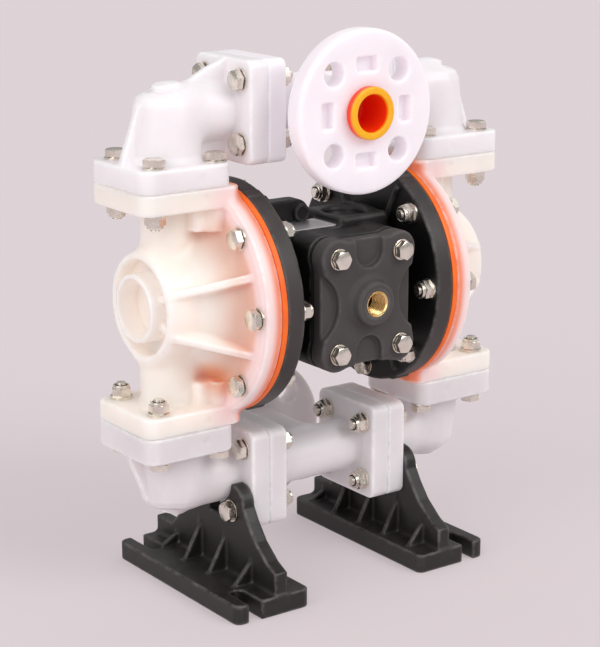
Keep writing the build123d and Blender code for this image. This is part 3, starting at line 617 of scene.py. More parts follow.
def rounded(profile: Sequence[Pair], radius: float) -> list[Pair]:
    """A closed profile with its corners rounded.

    Args:
        profile: Corners in order; those on the axis (radius 0) stay sharp.
        radius: Largest corner radius.

    Returns:
        The finer profile.
    """
    result: list[Pair] = []
    count = len(profile)
    for i, corner in enumerate(profile):
        here = np.array(corner)
        before = np.array(profile[i - 1]) - here
        after = np.array(profile[(i + 1) % count]) - here
        room = min(np.linalg.norm(before), np.linalg.norm(after)) * 0.45
        if corner[1] <= 0 or room < 1e-3:
            result.append(corner)
            continue
        reach = min(radius, room)
        start = here + before / np.linalg.norm(before) * reach
        end = here + after / np.linalg.norm(after) * reach
        for k in range(CORNER_STEPS + 1):
            t = k / CORNER_STEPS
            place = (1 - t) ** 2 * start + 2 * t * (1 - t) * here + t ** 2 * end
            result.append((float(place[0]), float(place[1])))
    return result


def lathe(name: str, axis: Axis, centre: Pair, profile: Sequence[Pair],
          edge: float) -> Piece:
    """Turns a closed profile of (place along the axis, radius) about an axis.

    Args:
        name: Name of the piece.
        axis: Axis of turning.
        centre: Place of the axis in its across directions.
        profile: Corners of the half section, in order.
        edge: Radius of the corners.

    Returns:
        The piece's object.
    """
    fine = rounded(profile, edge)
    points: list[Point] = []
    faces: list[tuple[int, ...]] = []
    i, j = axis.across
    for s in range(LATHE_FACES):
        angle = 2 * math.pi * s / LATHE_FACES
        for along, radius in fine:
            place = [0.0] * 3
            place[axis.value] = along
            place[i] = centre[0] + radius * math.cos(angle)
            place[j] = centre[1] + radius * math.sin(angle)
            points.append(tuple(place))
    count = len(fine)
    for s in range(LATHE_FACES):
        for k in range(count):
            a, b = s * count + k, s * count + (k + 1) % count
            c = (s + 1) % LATHE_FACES * count
            faces.append((a, b, c + (k + 1) % count, c + k))
    return points_mesh(name, points, faces)


# ------------------------------------------------------------------ node trees
class Tree:
    """A node tree under construction, with named inputs and outputs."""

    def __init__(self, name: str, kind: str) -> None:
        """Makes an empty tree.

        Args:
            name: Name of the tree.
            kind: GeometryNodeTree or ShaderNodeTree.
        """
        self.tree = bpy.data.node_groups.new(name, kind)
        self.given = self.tree.nodes.new("NodeGroupInput").outputs
        self.result = self.tree.nodes.new("NodeGroupOutput").inputs

    def takes(self, **inputs: object) -> list[Socket]:
        """Adds named inputs (Across_Flats makes "Across Flats") and returns their sockets.

        Args:
            inputs: Default of each, which sets its kind, or the kind itself for one without.

        Returns:
            The inputs' sockets, in order.
        """
        names = [key.replace("_", " ") for key in inputs]
        for name, value in zip(names, inputs.values()):
            bare = isinstance(value, str)
            kind = value if bare else {float: "Float", int: "Int"}.get(
                type(value)) or ("Vector" if len(value) == 3 else "Color")
            socket = self.tree.interface.new_socket(
                name, in_out="INPUT", socket_type="NodeSocket" + kind)
            if not bare:
                socket.default_value = value
        return [self.given[name] for name in names]

    def gives(self, name: str, value: Socket, kind: str = "Float") -> None:
        """Adds a named output fed by a socket."""
        self.tree.interface.new_socket(name, in_out="OUTPUT", socket_type="NodeSocket" + kind)
        self.tree.links.new(value, self.result[name])

    def node(self, kind: str, values: dict | None = None, **settings: object) -> bpy.types.Node:
        """Adds a node to this tree."""
        return add_node(self.tree, kind, values, **settings)

    def math(self, operation: str, *values: object) -> Socket:
        """Adds a Math node and returns its result."""
        return add_math(self.tree, operation, *values)

    def times(self, value: object, factor: object) -> Socket:
        """Adds a product."""
        return self.math("MULTIPLY", value, factor)

    def noise(self, place: object, scale: object, detail: float,
              roughness: float = 0.5) -> Socket:
        """Adds a noise texture and returns its value."""
        return self.node("ShaderNodeTexNoise", {
            "Vector": place, "Scale": scale, "Detail": detail,
            "Roughness": roughness}).outputs[0]

    def ramp(self, value: object, low: float, high: float) -> Socket:
        """Adds a clamped ramp of a value from 0 at low to 1 at high."""
        return add_ramp(self.tree, value, low, high)


def add_node(tree: NodeTree, kind: str, values: dict | None = None,
             **settings: object) -> bpy.types.Node:
    """Adds a node.

    Args:
        tree: The tree it goes in.
        kind: Blender's name of the node type.
        values: Input name or number, to a value or to the socket that feeds it.
        settings: Attributes of the node.

    Returns:
        The node.
    """
    node = tree.nodes.new(kind)
    for key, value in settings.items():
        setattr(node, key, value)
    return feed(tree, node, values or {})


def add_math(tree: NodeTree, operation: str,
             *values: object) -> Socket:
    """Adds a Math node to a tree and returns its result."""
    node = add_node(tree, "ShaderNodeMath", dict(enumerate(values)), operation=operation)
    return node.outputs[0]


def add_ramp(tree: NodeTree, value: object, low: float, high: float,
             kind: str = "LINEAR") -> Socket:
    """Adds a clamped ramp of a value to a tree, from 0 at low to 1 at high."""
    return add_node(tree, "ShaderNodeMapRange", {
        "Value": value, "From Min": low, "From Max": high}, interpolation_type=kind).outputs[0]


def mixed(tree: NodeTree, factor: object, first: object,
          second: object) -> Socket:
    """Adds a colour Mix node to a tree and returns its result."""
    node = add_node(tree, "ShaderNodeMix", {"Factor": factor}, data_type="RGBA")
    return feed(tree, node, {6: first, 7: second}).outputs[2]


# ------------------------------------------------------------------ finishes
class Effect(Enum):
    """Effects that several finishes share."""

    MOTTLE = "Mottled colour"
    GRAIN = "Moulded grain"
    EDGE_WEAR = "Worn edges"
    FADE = "Fade with distance"
    DUST = "Settled dust"
    SCRATCHES = "Fine scratches"


class Effects:
    """Shader groups for the shared effects, each built once."""

    def __init__(self) -> None:
        """Builds every group."""
        self.groups: dict[Effect, NodeTree] = {}
        makers: dict[Effect, Callable[[Tree], None]] = {
            Effect.MOTTLE: self._mottle, Effect.GRAIN: self._grain,
            Effect.EDGE_WEAR: self._edge_wear, Effect.FADE: self._fade,
            Effect.DUST: self._dust, Effect.SCRATCHES: self._scratches}
        for effect, make in makers.items():
            tree = Tree(effect.value, "ShaderNodeTree")
            make(tree)
            self.groups[effect] = tree.tree

    def place(self, tree: NodeTree, effect: Effect,
              values: dict) -> bpy.types.Node:
        """Puts one effect in a material's tree with its own values."""
        node = tree.nodes.new("ShaderNodeGroup")
        node.node_tree = self.groups[effect]
        return feed(tree, node, values)

    @staticmethod
    def _mottle(tree: Tree) -> None:
        """Cloudy change between two colours."""
        place, first, second, scale = tree.takes(Place="Vector", Colour=(0.8, 0.8, 0.8, 1),
            Second_Colour=(0.6, 0.6, 0.6, 1), Scale=20.0)
        level = tree.ramp(tree.noise(place, scale, 4.0, 0.55), 0.35, 0.65)
        tree.gives("Colour", mixed(tree.tree, level, first, second), "Color")

    @staticmethod
    def _grain(tree: Tree) -> None:
        """Fine moulded grain: a roughness and a height."""
        place, scale, rough, spread = tree.takes(Place="Vector", Scale=900.0, Roughness=0.5,
            Spread=0.1)
        fine = tree.noise(place, scale, 2.0, 0.6)
        broad = tree.noise(place, tree.times(scale, 0.04), 3.0)
        change = tree.times(tree.math("SUBTRACT", broad, 0.5), spread)
        tree.gives("Roughness", tree.math("ADD", rough, tree.times(change, 2.0)))
        tree.gives("Height", tree.math("ADD", fine, tree.times(broad, 1.5)))

    @staticmethod
    def _edge_wear(tree: Tree) -> None:
        """A second colour along outer edges, broken up by noise."""
        place, colour, worn, amount = tree.takes(Place="Vector", Colour=(0.5, 0.5, 0.5, 1),
            Worn_Colour=(0.7, 0.7, 0.7, 1), Amount=0.5)
        edge = tree.node("ShaderNodeAttribute", attribute_name="edge")
        patch = tree.ramp(tree.noise(place, 130.0, 5.0, 0.7), 0.36, 0.62)
        mask = tree.times(tree.times(tree.ramp(edge.outputs["Fac"], 0.06, 0.42), patch), amount)
        tree.gives("Colour", mixed(tree.tree, mask, colour, worn), "Color")
        tree.gives("Mask", mask)

    @staticmethod
    def _fade(tree: Tree) -> None:
        """A tint that fades between two distances."""
        distance, colour, tint, near, far, strength = tree.takes(Distance="Float",
            Colour=(0.8, 0.8, 0.8, 1), Tint=(0.8, 0.5, 0.4, 1), Near=0.0, Far=0.03, Strength=1.0)
        level = tree.node("ShaderNodeMapRange", {
            "Value": distance, "From Min": near, "From Max": far,
            "To Min": 1.0, "To Max": 0.0}, interpolation_type="SMOOTHSTEP")
        amount = tree.times(level.outputs[0], strength)
        tree.gives("Colour", mixed(tree.tree, amount, colour, tint), "Color")

    @staticmethod
    def _dust(tree: Tree) -> None:
        """Pale dust on faces that look up."""
        place, colour, dust, amount = tree.takes(Place="Vector", Colour=(0.1, 0.1, 0.1, 1),
            Dust_Colour=(0.4, 0.38, 0.35, 1), Amount=0.2)
        shape = tree.node("ShaderNodeNewGeometry")
        parts = tree.node("ShaderNodeSeparateXYZ", {0: shape.outputs["Normal"]})
        patch = tree.ramp(tree.noise(place, 60.0, 8.0, 0.75), 0.4, 0.75)
        mask = tree.times(tree.times(tree.ramp(parts.outputs[2], 0.3, 1.0), patch), amount)
        tree.gives("Colour", mixed(tree.tree, mask, colour, dust), "Color")

    @staticmethod
    def _scratches(tree: Tree) -> None:
        """Long fine marks: a height and a mask."""
        place, stretch, scale = tree.takes(Place="Vector", Stretch=(1.0, 1.0, 0.1), Scale=500.0)
        drawn = tree.node("ShaderNodeVectorMath", {0: place, 1: stretch}, operation="MULTIPLY")
        marks = tree.noise(drawn.outputs[0], scale, 3.0, 0.7)
        tree.gives("Height", marks)
        tree.gives("Mask", tree.ramp(marks, 0.45, 0.7))


@dataclass(frozen=True)
class Finish:
    """What every finish has: a name, the record's material slot and its colours."""

    name: str
    slot: str
    colour: Colour
    second: Colour
    mottle_scale: float = 25.0

    def start(self, effects: Effects) -> tuple[bpy.types.Material, Socket,
                                               Socket]:
        """Makes the material's beginning.

        Args:
            effects: The shared shader groups.

        Returns:
            The material, the place on the piece, and the mottled colour.
        """
        material = bpy.data.materials.new(self.name)
        material.use_nodes = True
        tree = material.node_tree
        place = tree.nodes.new("ShaderNodeTexCoord").outputs["Object"]
        base = effects.place(tree, Effect.MOTTLE, {
            "Place": place, "Colour": self.colour, "Second Colour": self.second,
            "Scale": self.mottle_scale})
        return material, place, base.outputs["Colour"]

    @staticmethod
    def coat(effects: Effects, place: Socket, grain: Point, bump: Pair,
             values: dict, marks: bpy.types.Node | None = None) -> None:
        """Feeds the material's Principled shader: grain, bump and what else it takes.

        Args:
            effects: The shared shader groups.
            place: The place on the piece.
            grain: Scale, roughness and spread of the grain.
            bump: Strength of the bump, and its depth in metres.
            values: The shader's other inputs, by name.
            marks: Scratches, which roughen it and give the bump in place of the grain.
        """
        tree = place.id_data
        made = effects.place(tree, Effect.GRAIN, {
            "Place": place, **dict(zip(("Scale", "Roughness", "Spread"), grain))})
        rough, height = made.outputs["Roughness"], made.outputs["Height"]
        if marks is not None:
            rough = add_math(tree, "MULTIPLY_ADD", marks.outputs["Mask"], 0.12, rough)
            height = marks.outputs["Height"]
        relief = add_node(tree, "ShaderNodeBump", {
            "Strength": bump[0], "Distance": bump[1], "Height": height})
        feed(tree, tree.nodes["Principled BSDF"], {
            "Roughness": rough, "Normal": relief.outputs[0], **values})

    def material(self, effects: Effects) -> bpy.types.Material:
        """Builds the material."""
        raise NotImplementedError


@dataclass(frozen=True)
class NaturalPlastic(Finish):
    """Uncoloured polypropylene: milky, lets light in, and shows the diaphragm's orange; a painted
    glow lightens its shade.
    """

    dish_tint: Colour = (0.80, 0.46, 0.36, 1)
    rim_tint: Colour = (0.90, 0.66, 0.65, 1)
    # colour of the crease: the diaphragm's orange, made darker as painted shade
    crease_shade_orange: Colour = (0.76, 0.22, 0.05, 1)
    glowing: Colour = (0.90, 0.20, 0.07, 1)
    worn: Colour = (0.97, 0.95, 0.96, 1)
    light_reach: Point = (1.0, 0.82, 0.80)       # of red, green and blue inside it
    light_depth: float = 0.014
    tint_strength: float = 0.0
    crease_shade_share: float = 0.7
    port_share: float = -0.8                     # change of the tint's strength under the ports
    port_level: Pair = (0.043, 0.050)
    port_beside: Pair = (0.030, 0.023)
    rim_radius: Pair = (0.056, 0.062)
    dish_fade: Pair = (0.076, 0.094)
    # middle of the crease by the lower port, where painted shade deepens the orange
    crook: Point = (0.0755, 0.021, -0.0405)      # between rim, dish and lower port
    crook_fade: Pair = (0.004, 0.019)
    rim_fade: Pair = (0.0655, 0.0715)
    # emission strength: a painted glow that lightens the plastic's shaded sides
    painted_glow: float = 0.09
    subsurface: float = 0.8
    roughness: float = 0.36

    def _orange(self, effects: Effects, tree: NodeTree, place: Socket,
                colour: Socket) -> Socket:
        """The diaphragm's colour through the dish and rim, clear of the port pads, with painted
        shade deepening it in the crease by the lower port.
        """
        parts = add_node(tree, "ShaderNodeSeparateXYZ", {0: place})
        away, beside = (add_math(tree, "ABSOLUTE", parts.outputs[i]) for i in (0, 1))
        height = add_math(tree, "SUBTRACT", parts.outputs[2], SHAFT_HEIGHT * MM)
        level = add_math(tree, "ABSOLUTE", height)
        radius = add_math(tree, "SQRT", add_math(
            tree, "ADD", add_math(tree, "POWER", beside, 2.0),
            add_math(tree, "POWER", height, 2.0)))

        def ramp(value: Socket, span: Pair) -> Socket:
            """A smooth step of a value from 0 at the span's start to 1 at its end."""
            return add_ramp(tree, value, *span, "SMOOTHSTEP")

        def fade(distance: Socket, under: Socket, tint: object, span: Pair,
                 strength: object) -> Socket:
            """A colour under a tint that fades over a span of distance."""
            return effects.place(tree, Effect.FADE, {
                "Distance": distance, "Colour": under, "Tint": tint, "Near": span[0],
                "Far": span[1], "Strength": strength}).outputs["Colour"]

        full = self.tint_strength
        under_ports = add_math(tree, "MULTIPLY", ramp(level, self.port_level),
                               ramp(beside, self.port_beside))
        strength = add_math(tree, "MULTIPLY_ADD", under_ports, self.port_share * full, full)
        tint = mixed(tree, ramp(radius, self.rim_radius), self.dish_tint, self.rim_tint)
        dish = fade(away, colour, tint, self.dish_fade, strength)
        folded = add_node(tree, "ShaderNodeCombineXYZ", {0: away, 1: beside, 2: height})
        gap = add_node(tree, "ShaderNodeVectorMath", {
            0: folded.outputs[0], 1: self.crook}, operation="DISTANCE").outputs["Value"]
        # painted shade: a darker orange in the crease between rim, dish and lower port
        crease_shaded = fade(gap, dish, self.crease_shade_orange, self.crook_fade, self.crease_shade_share * full)
        return fade(away, crease_shaded, self.glowing, self.rim_fade, full)

    def material(self, effects: Effects) -> bpy.types.Material:
        """Builds the material."""
        material, place, colour = self.start(effects)
        tree = material.node_tree
        if self.tint_strength > 0:
            colour = self._orange(effects, tree, place, colour)
        worn = effects.place(tree, Effect.EDGE_WEAR, {
            "Place": place, "Colour": colour,
            "Worn Colour": self.worn, "Amount": 0.5}).outputs["Colour"]
        # the emission is a painted glow that lightens the shade of the plastic
        self.coat(effects, place, (700.0, self.roughness, 0.12), (0.12, 0.0004), {
            "Base Color": worn, "Emission Color": worn, "Emission Strength": self.painted_glow,
            "Subsurface Weight": self.subsurface, "Subsurface Radius": self.light_reach,
            "Subsurface Scale": self.light_depth, "IOR": 1.49})
        return material


@dataclass(frozen=True)
class BlackPlastic(Finish):
    """Filled black polypropylene with grain, rubbed edges, a little dust and, where set, painted
    shade on its inner faces.
    """

    worn: Colour = (0.17, 0.16, 0.15, 1)
    wear: float = 0.5
    dust: float = 0.08
    dust_colour: Colour = (0.33, 0.31, 0.30, 1)
    shadow: Colour = (0.004, 0.004, 0.004, 1)
    # painted shade: the moulding is painted darker within this |x|
    inner_reach: float = 0.0     # |x| within which the moulding is darker
    specular: float = 0.42
    roughness: float = 0.5
    grain_scale: float = 900.0
    grain: float = 0.35

    def material(self, effects: Effects) -> bpy.types.Material:
        """Builds the material."""
        material, place, colour = self.start(effects)
        tree = material.node_tree
        parts = add_node(tree, "ShaderNodeSeparateXYZ", {0: place})
        # painted shade on the faces that turn inwards, within inner_reach of the middle
        inner = effects.place(tree, Effect.FADE, {
            "Distance": add_math(tree, "ABSOLUTE", parts.outputs[0]), "Colour": colour,
            "Tint": self.shadow, "Near": self.inner_reach,
            "Far": self.inner_reach + 0.002, "Strength": 1.0 if self.inner_reach > 0 else 0.0})
        worn = effects.place(tree, Effect.EDGE_WEAR, {
            "Place": place, "Colour": inner.outputs["Colour"], "Worn Colour": self.worn,
            "Amount": self.wear})
        dusty = effects.place(tree, Effect.DUST, {
            "Place": place, "Colour": worn.outputs["Colour"],
            "Dust Colour": self.dust_colour, "Amount": self.dust})
        self.coat(effects, place, (self.grain_scale, self.roughness, 0.16),
                  (self.grain, 0.0003), {"Base Color": dusty.outputs["Colour"],
                                         "Specular IOR Level": self.specular})
        return material


@dataclass(frozen=True)
class Metal(Finish):
    """Bare metal with tool marks."""

    roughness: float = 0.2
    stretch: Point = (1.0, 1.0, 1.0)
    marks_scale: float = 900.0
    marks: float = 0.12

    def material(self, effects: Effects) -> bpy.types.Material:
        """Builds the material."""
        material, place, colour = self.start(effects)
        marks = effects.place(material.node_tree, Effect.SCRATCHES, {
            "Place": place, "Stretch": self.stretch, "Scale": self.marks_scale})
        self.coat(effects, place, (1500.0, self.roughness, 0.14), (self.marks, 0.0002),
                  {"Base Color": colour, "Metallic": 1.0}, marks)
        return material


@dataclass(frozen=True)
class Elastomer(Finish):
    """Rubber or thermoplastic elastomer sheet."""

    roughness: float = 0.45
    subsurface: float = 0.0

    def material(self, effects: Effects) -> bpy.types.Material:
        """Builds the material."""
        material, place, colour = self.start(effects)
        self.coat(effects, place, (1100.0, self.roughness, 0.15), (0.2, 0.0002), {
            "Base Color": colour, "Subsurface Weight": self.subsurface,
            "Subsurface Radius": (1.0, 0.4, 0.2), "Subsurface Scale": 0.003})
        return material


@dataclass(frozen=True)
class PlugPlastic(Finish):
    """Soft coloured plastic whose cup is painted deeper in colour than its lip, as painted shade
    inside the recess.
    """

    # colour of the painted shade inside the cup
    cup: Colour = (0.98, 0.045, 0.004, 1)
    lip_y: float = 0.0674
    cup_y: float = 0.0650

    def material(self, effects: Effects) -> bpy.types.Material:
        """Builds the material."""
        material, place, colour = self.start(effects)
        tree = material.node_tree
        parts = add_node(tree, "ShaderNodeSeparateXYZ", {0: place})
        depth = add_math(tree, "ABSOLUTE", parts.outputs[1])
        # painted shade: the cup turns redder and darker further in
        cup_shaded = effects.place(tree, Effect.FADE, {
            "Distance": depth, "Colour": colour, "Tint": self.cup, "Near": self.cup_y,
            "Far": self.lip_y, "Strength": 1.0})
        self.coat(effects, place, (800.0, 0.38, 0.1), (0.08, 0.0003), {
            "Base Color": cup_shaded.outputs["Colour"], "Subsurface Weight": 0.4,
            "Subsurface Radius": (1.0, 0.5, 0.1), "Subsurface Scale": 0.004})
        return material


FINISHES: dict[str, Finish] = {
    "cover": NaturalPlastic(
        "cover_polypropylene", "natural_polypropylene", (0.92, 0.84, 0.78, 1),
        (0.88, 0.79, 0.72, 1), 22.0, tint_strength=0.9),
    "manifold": NaturalPlastic(
        "manifold_polypropylene", "natural_polypropylene", (0.86, 0.82, 0.84, 1),
        (0.80, 0.76, 0.78, 1), 20.0),
    # a darker copy of the manifold's plastic: painted shade on the low suction pieces
    "suction": NaturalPlastic(
        "shaded_suction_polypropylene", "natural_polypropylene", (0.71, 0.675, 0.69, 1),
        (0.64, 0.605, 0.62, 1), 20.0, painted_glow=0.13),
    "flange": NaturalPlastic(
        "flange_polypropylene", "natural_polypropylene", (0.84, 0.79, 0.83, 1),
        (0.79, 0.74, 0.78, 1), 16.0, painted_glow=0.17, roughness=0.42),
    # inner_reach sets painted shade on the chamber's inner face
    "disc": BlackPlastic(
        "chamber_black", "black_plastic", (0.034, 0.028, 0.027, 1), (0.048, 0.040, 0.038, 1),
        30.0, inner_reach=0.0483, roughness=0.46),
    "block": BlackPlastic(
        "block_black", "black_plastic", (0.010, 0.009, 0.009, 1), (0.016, 0.015, 0.014, 1),
        30.0, wear=0.35, roughness=0.45),
    "cover_black": BlackPlastic(
        "valve_cover_black", "black_plastic", (0.060, 0.053, 0.053, 1),
        (0.074, 0.066, 0.066, 1), 40.0, roughness=0.6, grain_scale=1500.0, grain=0.55,
        specular=0.25),
    "foot": BlackPlastic(
        "foot_black", "black_plastic", (0.011, 0.010, 0.009, 1), (0.018, 0.016, 0.015, 1),
        35.0, wear=0.6, roughness=0.42),
    "gasket": Elastomer(
        "gasket_rubber", "black_rubber", (0.012, 0.012, 0.012, 1), (0.02, 0.02, 0.02, 1),
        roughness=0.7),
    "diaphragm": Elastomer(
        "diaphragm_orange", "orange_elastomer", (1.0, 0.175, 0.008, 1),
        (0.92, 0.13, 0.006, 1), 60.0, subsurface=0.15),
    "stainless": Metal(
        "stainless_steel_bright", "stainless_steel", (0.88, 0.83, 0.75, 1),
        (0.72, 0.67, 0.59, 1), 150.0),
    "brass": Metal(
        "brass_turned", "brass", (0.88, 0.63, 0.29, 1), (0.72, 0.48, 0.19, 1), 90.0,
        roughness=0.2, stretch=(0.2, 3.0, 0.2)),
    "aluminium": Metal(
        "aluminium_matt", "aluminium", (0.74, 0.73, 0.74, 1), (0.62, 0.61, 0.62, 1), 50.0,
        roughness=0.42, stretch=(0.05, 1.0, 1.0)),
    "white": Elastomer(
        "ptfe_white", "white_ptfe", (0.86, 0.85, 0.83, 1), (0.80, 0.79, 0.76, 1), 40.0,
        roughness=0.5, subsurface=0.2),
    "plug": PlugPlastic(
        "plug_yellow", "yellow_plastic", (1.0, 0.50, 0.004, 1), (1.0, 0.44, 0.004, 1), 30.0),
}


class Paintbox:
    """Materials by finish name, each built when it is first asked for."""

    def __init__(self) -> None:
        """Builds the shared effects."""
        self.effects = Effects()
        self.made: dict[str, bpy.types.Material] = {}

    def get(self, finish: str) -> bpy.types.Material:
        """The material of a finish."""
        if finish not in self.made:
            self.made[finish] = FINISHES[finish].material(self.effects)
        return self.made[finish]

    def dress(self, piece: Piece, finish: str) -> None:
        """Gives a whole piece one finish."""
        piece.data.materials.clear()
        piece.data.materials.append(self.get(finish))

    def dress_node(self, node: Piece, finish: str) -> None:
        """Gives a carried-over solid its finish, by its material slots only."""
        if not node.material_slots:
            node.data.materials.append(self.get(finish))
        for entry in node.material_slots:
            entry.material = self.get(finish)


def settle(piece: Piece, paint: Paintbox, finish: str, body: str,
           *nodes: str) -> Piece:
    """Dresses a finished piece, lets it ride and says which nodes it stands for.

    Args:
        piece: The finished piece.
        paint: The materials.
        finish: Name of its finish.
        body: Body it rides on.
        nodes: CAD nodes that it replaces.

    Returns:
        The piece.
    """
    paint.dress(piece, finish)
    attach(piece, body)
    if nodes:
        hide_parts(*nodes)
    LOG.info("%s: %d faces, rides on %s", piece.name, len(piece.data.polygons), body)
    return piece


def settle_pair(skin: Skin, paint: Paintbox, finish: str, name: str, node: str) -> None:
    """Settles a moulding on the right of the pump and its mirror image on the left."""
    for side, half in (("_right", skin), ("_left", skin.mirrored(Axis.X))):
        settle(half.placed(name + side), paint, finish, BODY, node + side)


# ------------------------------------------------------------------ repeats by geometry nodes
@dataclass(frozen=True)
class Place:
    """Where a repeated piece stands: a point, the way it points, and a length."""

    point: Point
    direction: Point
    length: float = 1.0


def grow(name: str, tree: NodeTree, places: Sequence[Place],
         values: dict[str, object]) -> Piece:
    """Runs a geometry tree over a set of places and keeps the plain mesh.

    Args:
        name: Name of the piece.
        tree: The geometry tree, whose first input is the places.
        places: Where the repeats stand.
        values: Input name to value.

    Returns:
        A mesh object at the origin, with no modifier.
    """
    mesh = bpy.data.meshes.new(name + "_places")
    mesh.from_pydata([(x * MM, y * MM, (z + SHAFT_HEIGHT) * MM)
                      for x, y, z in (p.point for p in places)], [], [])
    aim = mesh.attributes.new("direction", "FLOAT_VECTOR", "POINT")
    aim.data.foreach_set("vector", np.array([p.direction for p in places], np.float32).ravel())
    reach = mesh.attributes.new("length", "FLOAT", "POINT")
    reach.data.foreach_set("value", np.array([p.length * MM for p in places], np.float32))
    seed = new_object(name + "_seed", mesh)
    modifier = seed.modifiers.new("Repeat", "NODES")
    modifier.node_group = tree
    names = {item.name: item.identifier for item in tree.interface.items_tree
             if item.item_type == "SOCKET" and item.in_out == "INPUT"}
    for key, value in values.items():
        modifier[names[key]] = value
    seed.update_tag()
    bpy.context.view_layer.update()
    graph = bpy.context.evaluated_depsgraph_get()
    result = bpy.data.meshes.new_from_object(seed.evaluated_get(graph), depsgraph=graph)
    result.name = name
    for attribute in ("direction", "length"):
        if attribute in result.attributes:
            result.attributes.remove(result.attributes[attribute])
    result.shade_smooth()
    result.set_sharp_from_angle(angle=math.radians(HEAD_CREASE))
    bpy.data.objects.remove(seed)
    return new_object(name, result)


class RepeatTrees:
    """Geometry trees for screws, lock nuts and threads."""

    # shares of the width across flats
    NECK_RADIUS = 0.38
    CROWN_RADIUS = 0.475
    COLLAR_RADIUS = 0.455
    COLLAR_LIP = 0.055
    INSERT_RADIUS = 0.40
    # shares of the washer's thickness
    WASHER_LOWER = 0.66
    WASHER_RIM = 0.14
    # shares of the screw's radius
    CORE_RADIUS = 0.9
    RIDGE = 0.1
    PITCH = 0.3
    TURNS_FROM_END = 1.05
    # share of the nut's height
    HEXAGON_HEIGHT = 0.74

    def __init__(self) -> None:
        """Builds every tree once."""
        self.turns = self._turns()
        self.screws = self._screws()
        self.nuts = self._nuts()
        self.thread = self._thread()

    @staticmethod
    def _moved(tree: Tree, geometry: Socket,
               height: object) -> Socket:
        """Geometry lifted along its own axis by a height."""
        shift = tree.node("ShaderNodeCombineXYZ", {"Z": height})
        moved = tree.node("GeometryNodeTransform", {
            "Geometry": geometry, "Translation": shift.outputs[0]})
        return moved.outputs[0]

    @classmethod
    def _bar(cls, tree: Tree, sides: int, radius: object, bottom: object,
             height: object) -> Socket:
        """A closed prism with its foot at a height."""
        prism = tree.node("GeometryNodeMeshCylinder", {
            "Vertices": sides, "Radius": radius, "Depth": height})
        middle = tree.math("MULTIPLY_ADD", height, 0.5, bottom)
        return cls._moved(tree, prism.outputs["Mesh"], middle)

    @classmethod
    def _ring(cls, tree: Tree, radius: object, thickness: object, height: object,
              facets: int = 40) -> Socket:
        """A round ring at a height."""
        path = tree.node("GeometryNodeCurvePrimitiveCircle", {
            "Resolution": facets, "Radius": radius}, mode="RADIUS")
        section = tree.node("GeometryNodeCurvePrimitiveCircle", {
            "Resolution": 10, "Radius": thickness}, mode="RADIUS")
        swept = tree.node("GeometryNodeCurveToMesh", {
            "Curve": path.outputs[0], "Profile Curve": section.outputs[0]})
        return cls._moved(tree, swept.outputs[0], height)

    @classmethod
    def _chamfered_hexagon(cls, tree: Tree, flats: object, bottom: object,
                           height: object) -> Socket:
        """A hexagon whose upper corners are turned off at 30 degrees."""
        corner = tree.math("DIVIDE", flats, math.sqrt(3))
        prism = cls._bar(tree, 6, corner, bottom, height)
        crown = tree.times(flats, cls.CROWN_RADIUS)
        slope = tree.times(height, math.sqrt(3))
        cone = tree.node("GeometryNodeMeshCone", {
            "Vertices": 48, "Radius Top": tree.math("MULTIPLY_ADD", slope, -0.1, crown),
            "Radius Bottom": tree.math("MULTIPLY_ADD", slope, 1.2, crown),
            "Depth": tree.times(height, 1.3)})
        lathe_cone = cls._moved(tree, cone.outputs["Mesh"],
                                tree.math("MULTIPLY_ADD", height, -0.2, bottom))
        meet = tree.node("GeometryNodeMeshBoolean", operation="INTERSECT")
        tree.tree.links.new(prism, meet.inputs["Mesh 2"])
        tree.tree.links.new(lathe_cone, meet.inputs["Mesh 2"])
        return meet.outputs["Mesh"]

    @staticmethod
    def _spread(tree: Tree, places: Socket, piece: Socket,
                seed: Socket, scale: object = None) -> Socket:
        """Copies of a piece on the places, along their directions, each turned at random."""
        aim = tree.node("GeometryNodeInputNamedAttribute", {"Name": "direction"},
                        data_type="FLOAT_VECTOR")
        facing = tree.node("FunctionNodeAlignRotationToVector", {"Vector": aim.outputs[0]},
                           axis="Z")
        angle = tree.node("FunctionNodeRandomValue", {2: 0.0, 3: math.tau, "Seed": seed},
                          data_type="FLOAT")
        turn = tree.node("ShaderNodeCombineXYZ", {"Z": angle.outputs[1]})
        about = tree.node("FunctionNodeEulerToRotation", {0: turn.outputs[0]})
        spun = tree.node("FunctionNodeRotateRotation", {
            0: facing.outputs[0], 1: about.outputs[0]}, rotation_space="LOCAL")
        values = {"Points": places, "Instance": piece, "Rotation": spun.outputs[0]}
        if scale is not None:
            values["Scale"] = scale
        copies = tree.node("GeometryNodeInstanceOnPoints", values)
        return copies.outputs[0]

    @staticmethod
    def _joined(tree: Tree, *pieces: Socket) -> Socket:
        """Several geometries as one."""
        join = tree.node("GeometryNodeJoinGeometry")
        for piece in pieces:
            tree.tree.links.new(piece, join.inputs[0])
        return join.outputs[0]

    @staticmethod
    def _dressed(tree: Tree, geometry: Socket,
                 material: Socket) -> Socket:
        """Geometry made real, with its material set."""
        real = tree.node("GeometryNodeRealizeInstances", {0: geometry})
        dressed = tree.node("GeometryNodeSetMaterial", {
            "Geometry": real.outputs[0], "Material": material})
        return dressed.outputs[0]

    @classmethod
    def _finish(cls, tree: Tree, geometry: Socket,
                material: Socket) -> None:
        """Ends a tree: realised, with its material set."""
        tree.gives("Geometry", cls._dressed(tree, geometry, material), "Geometry")

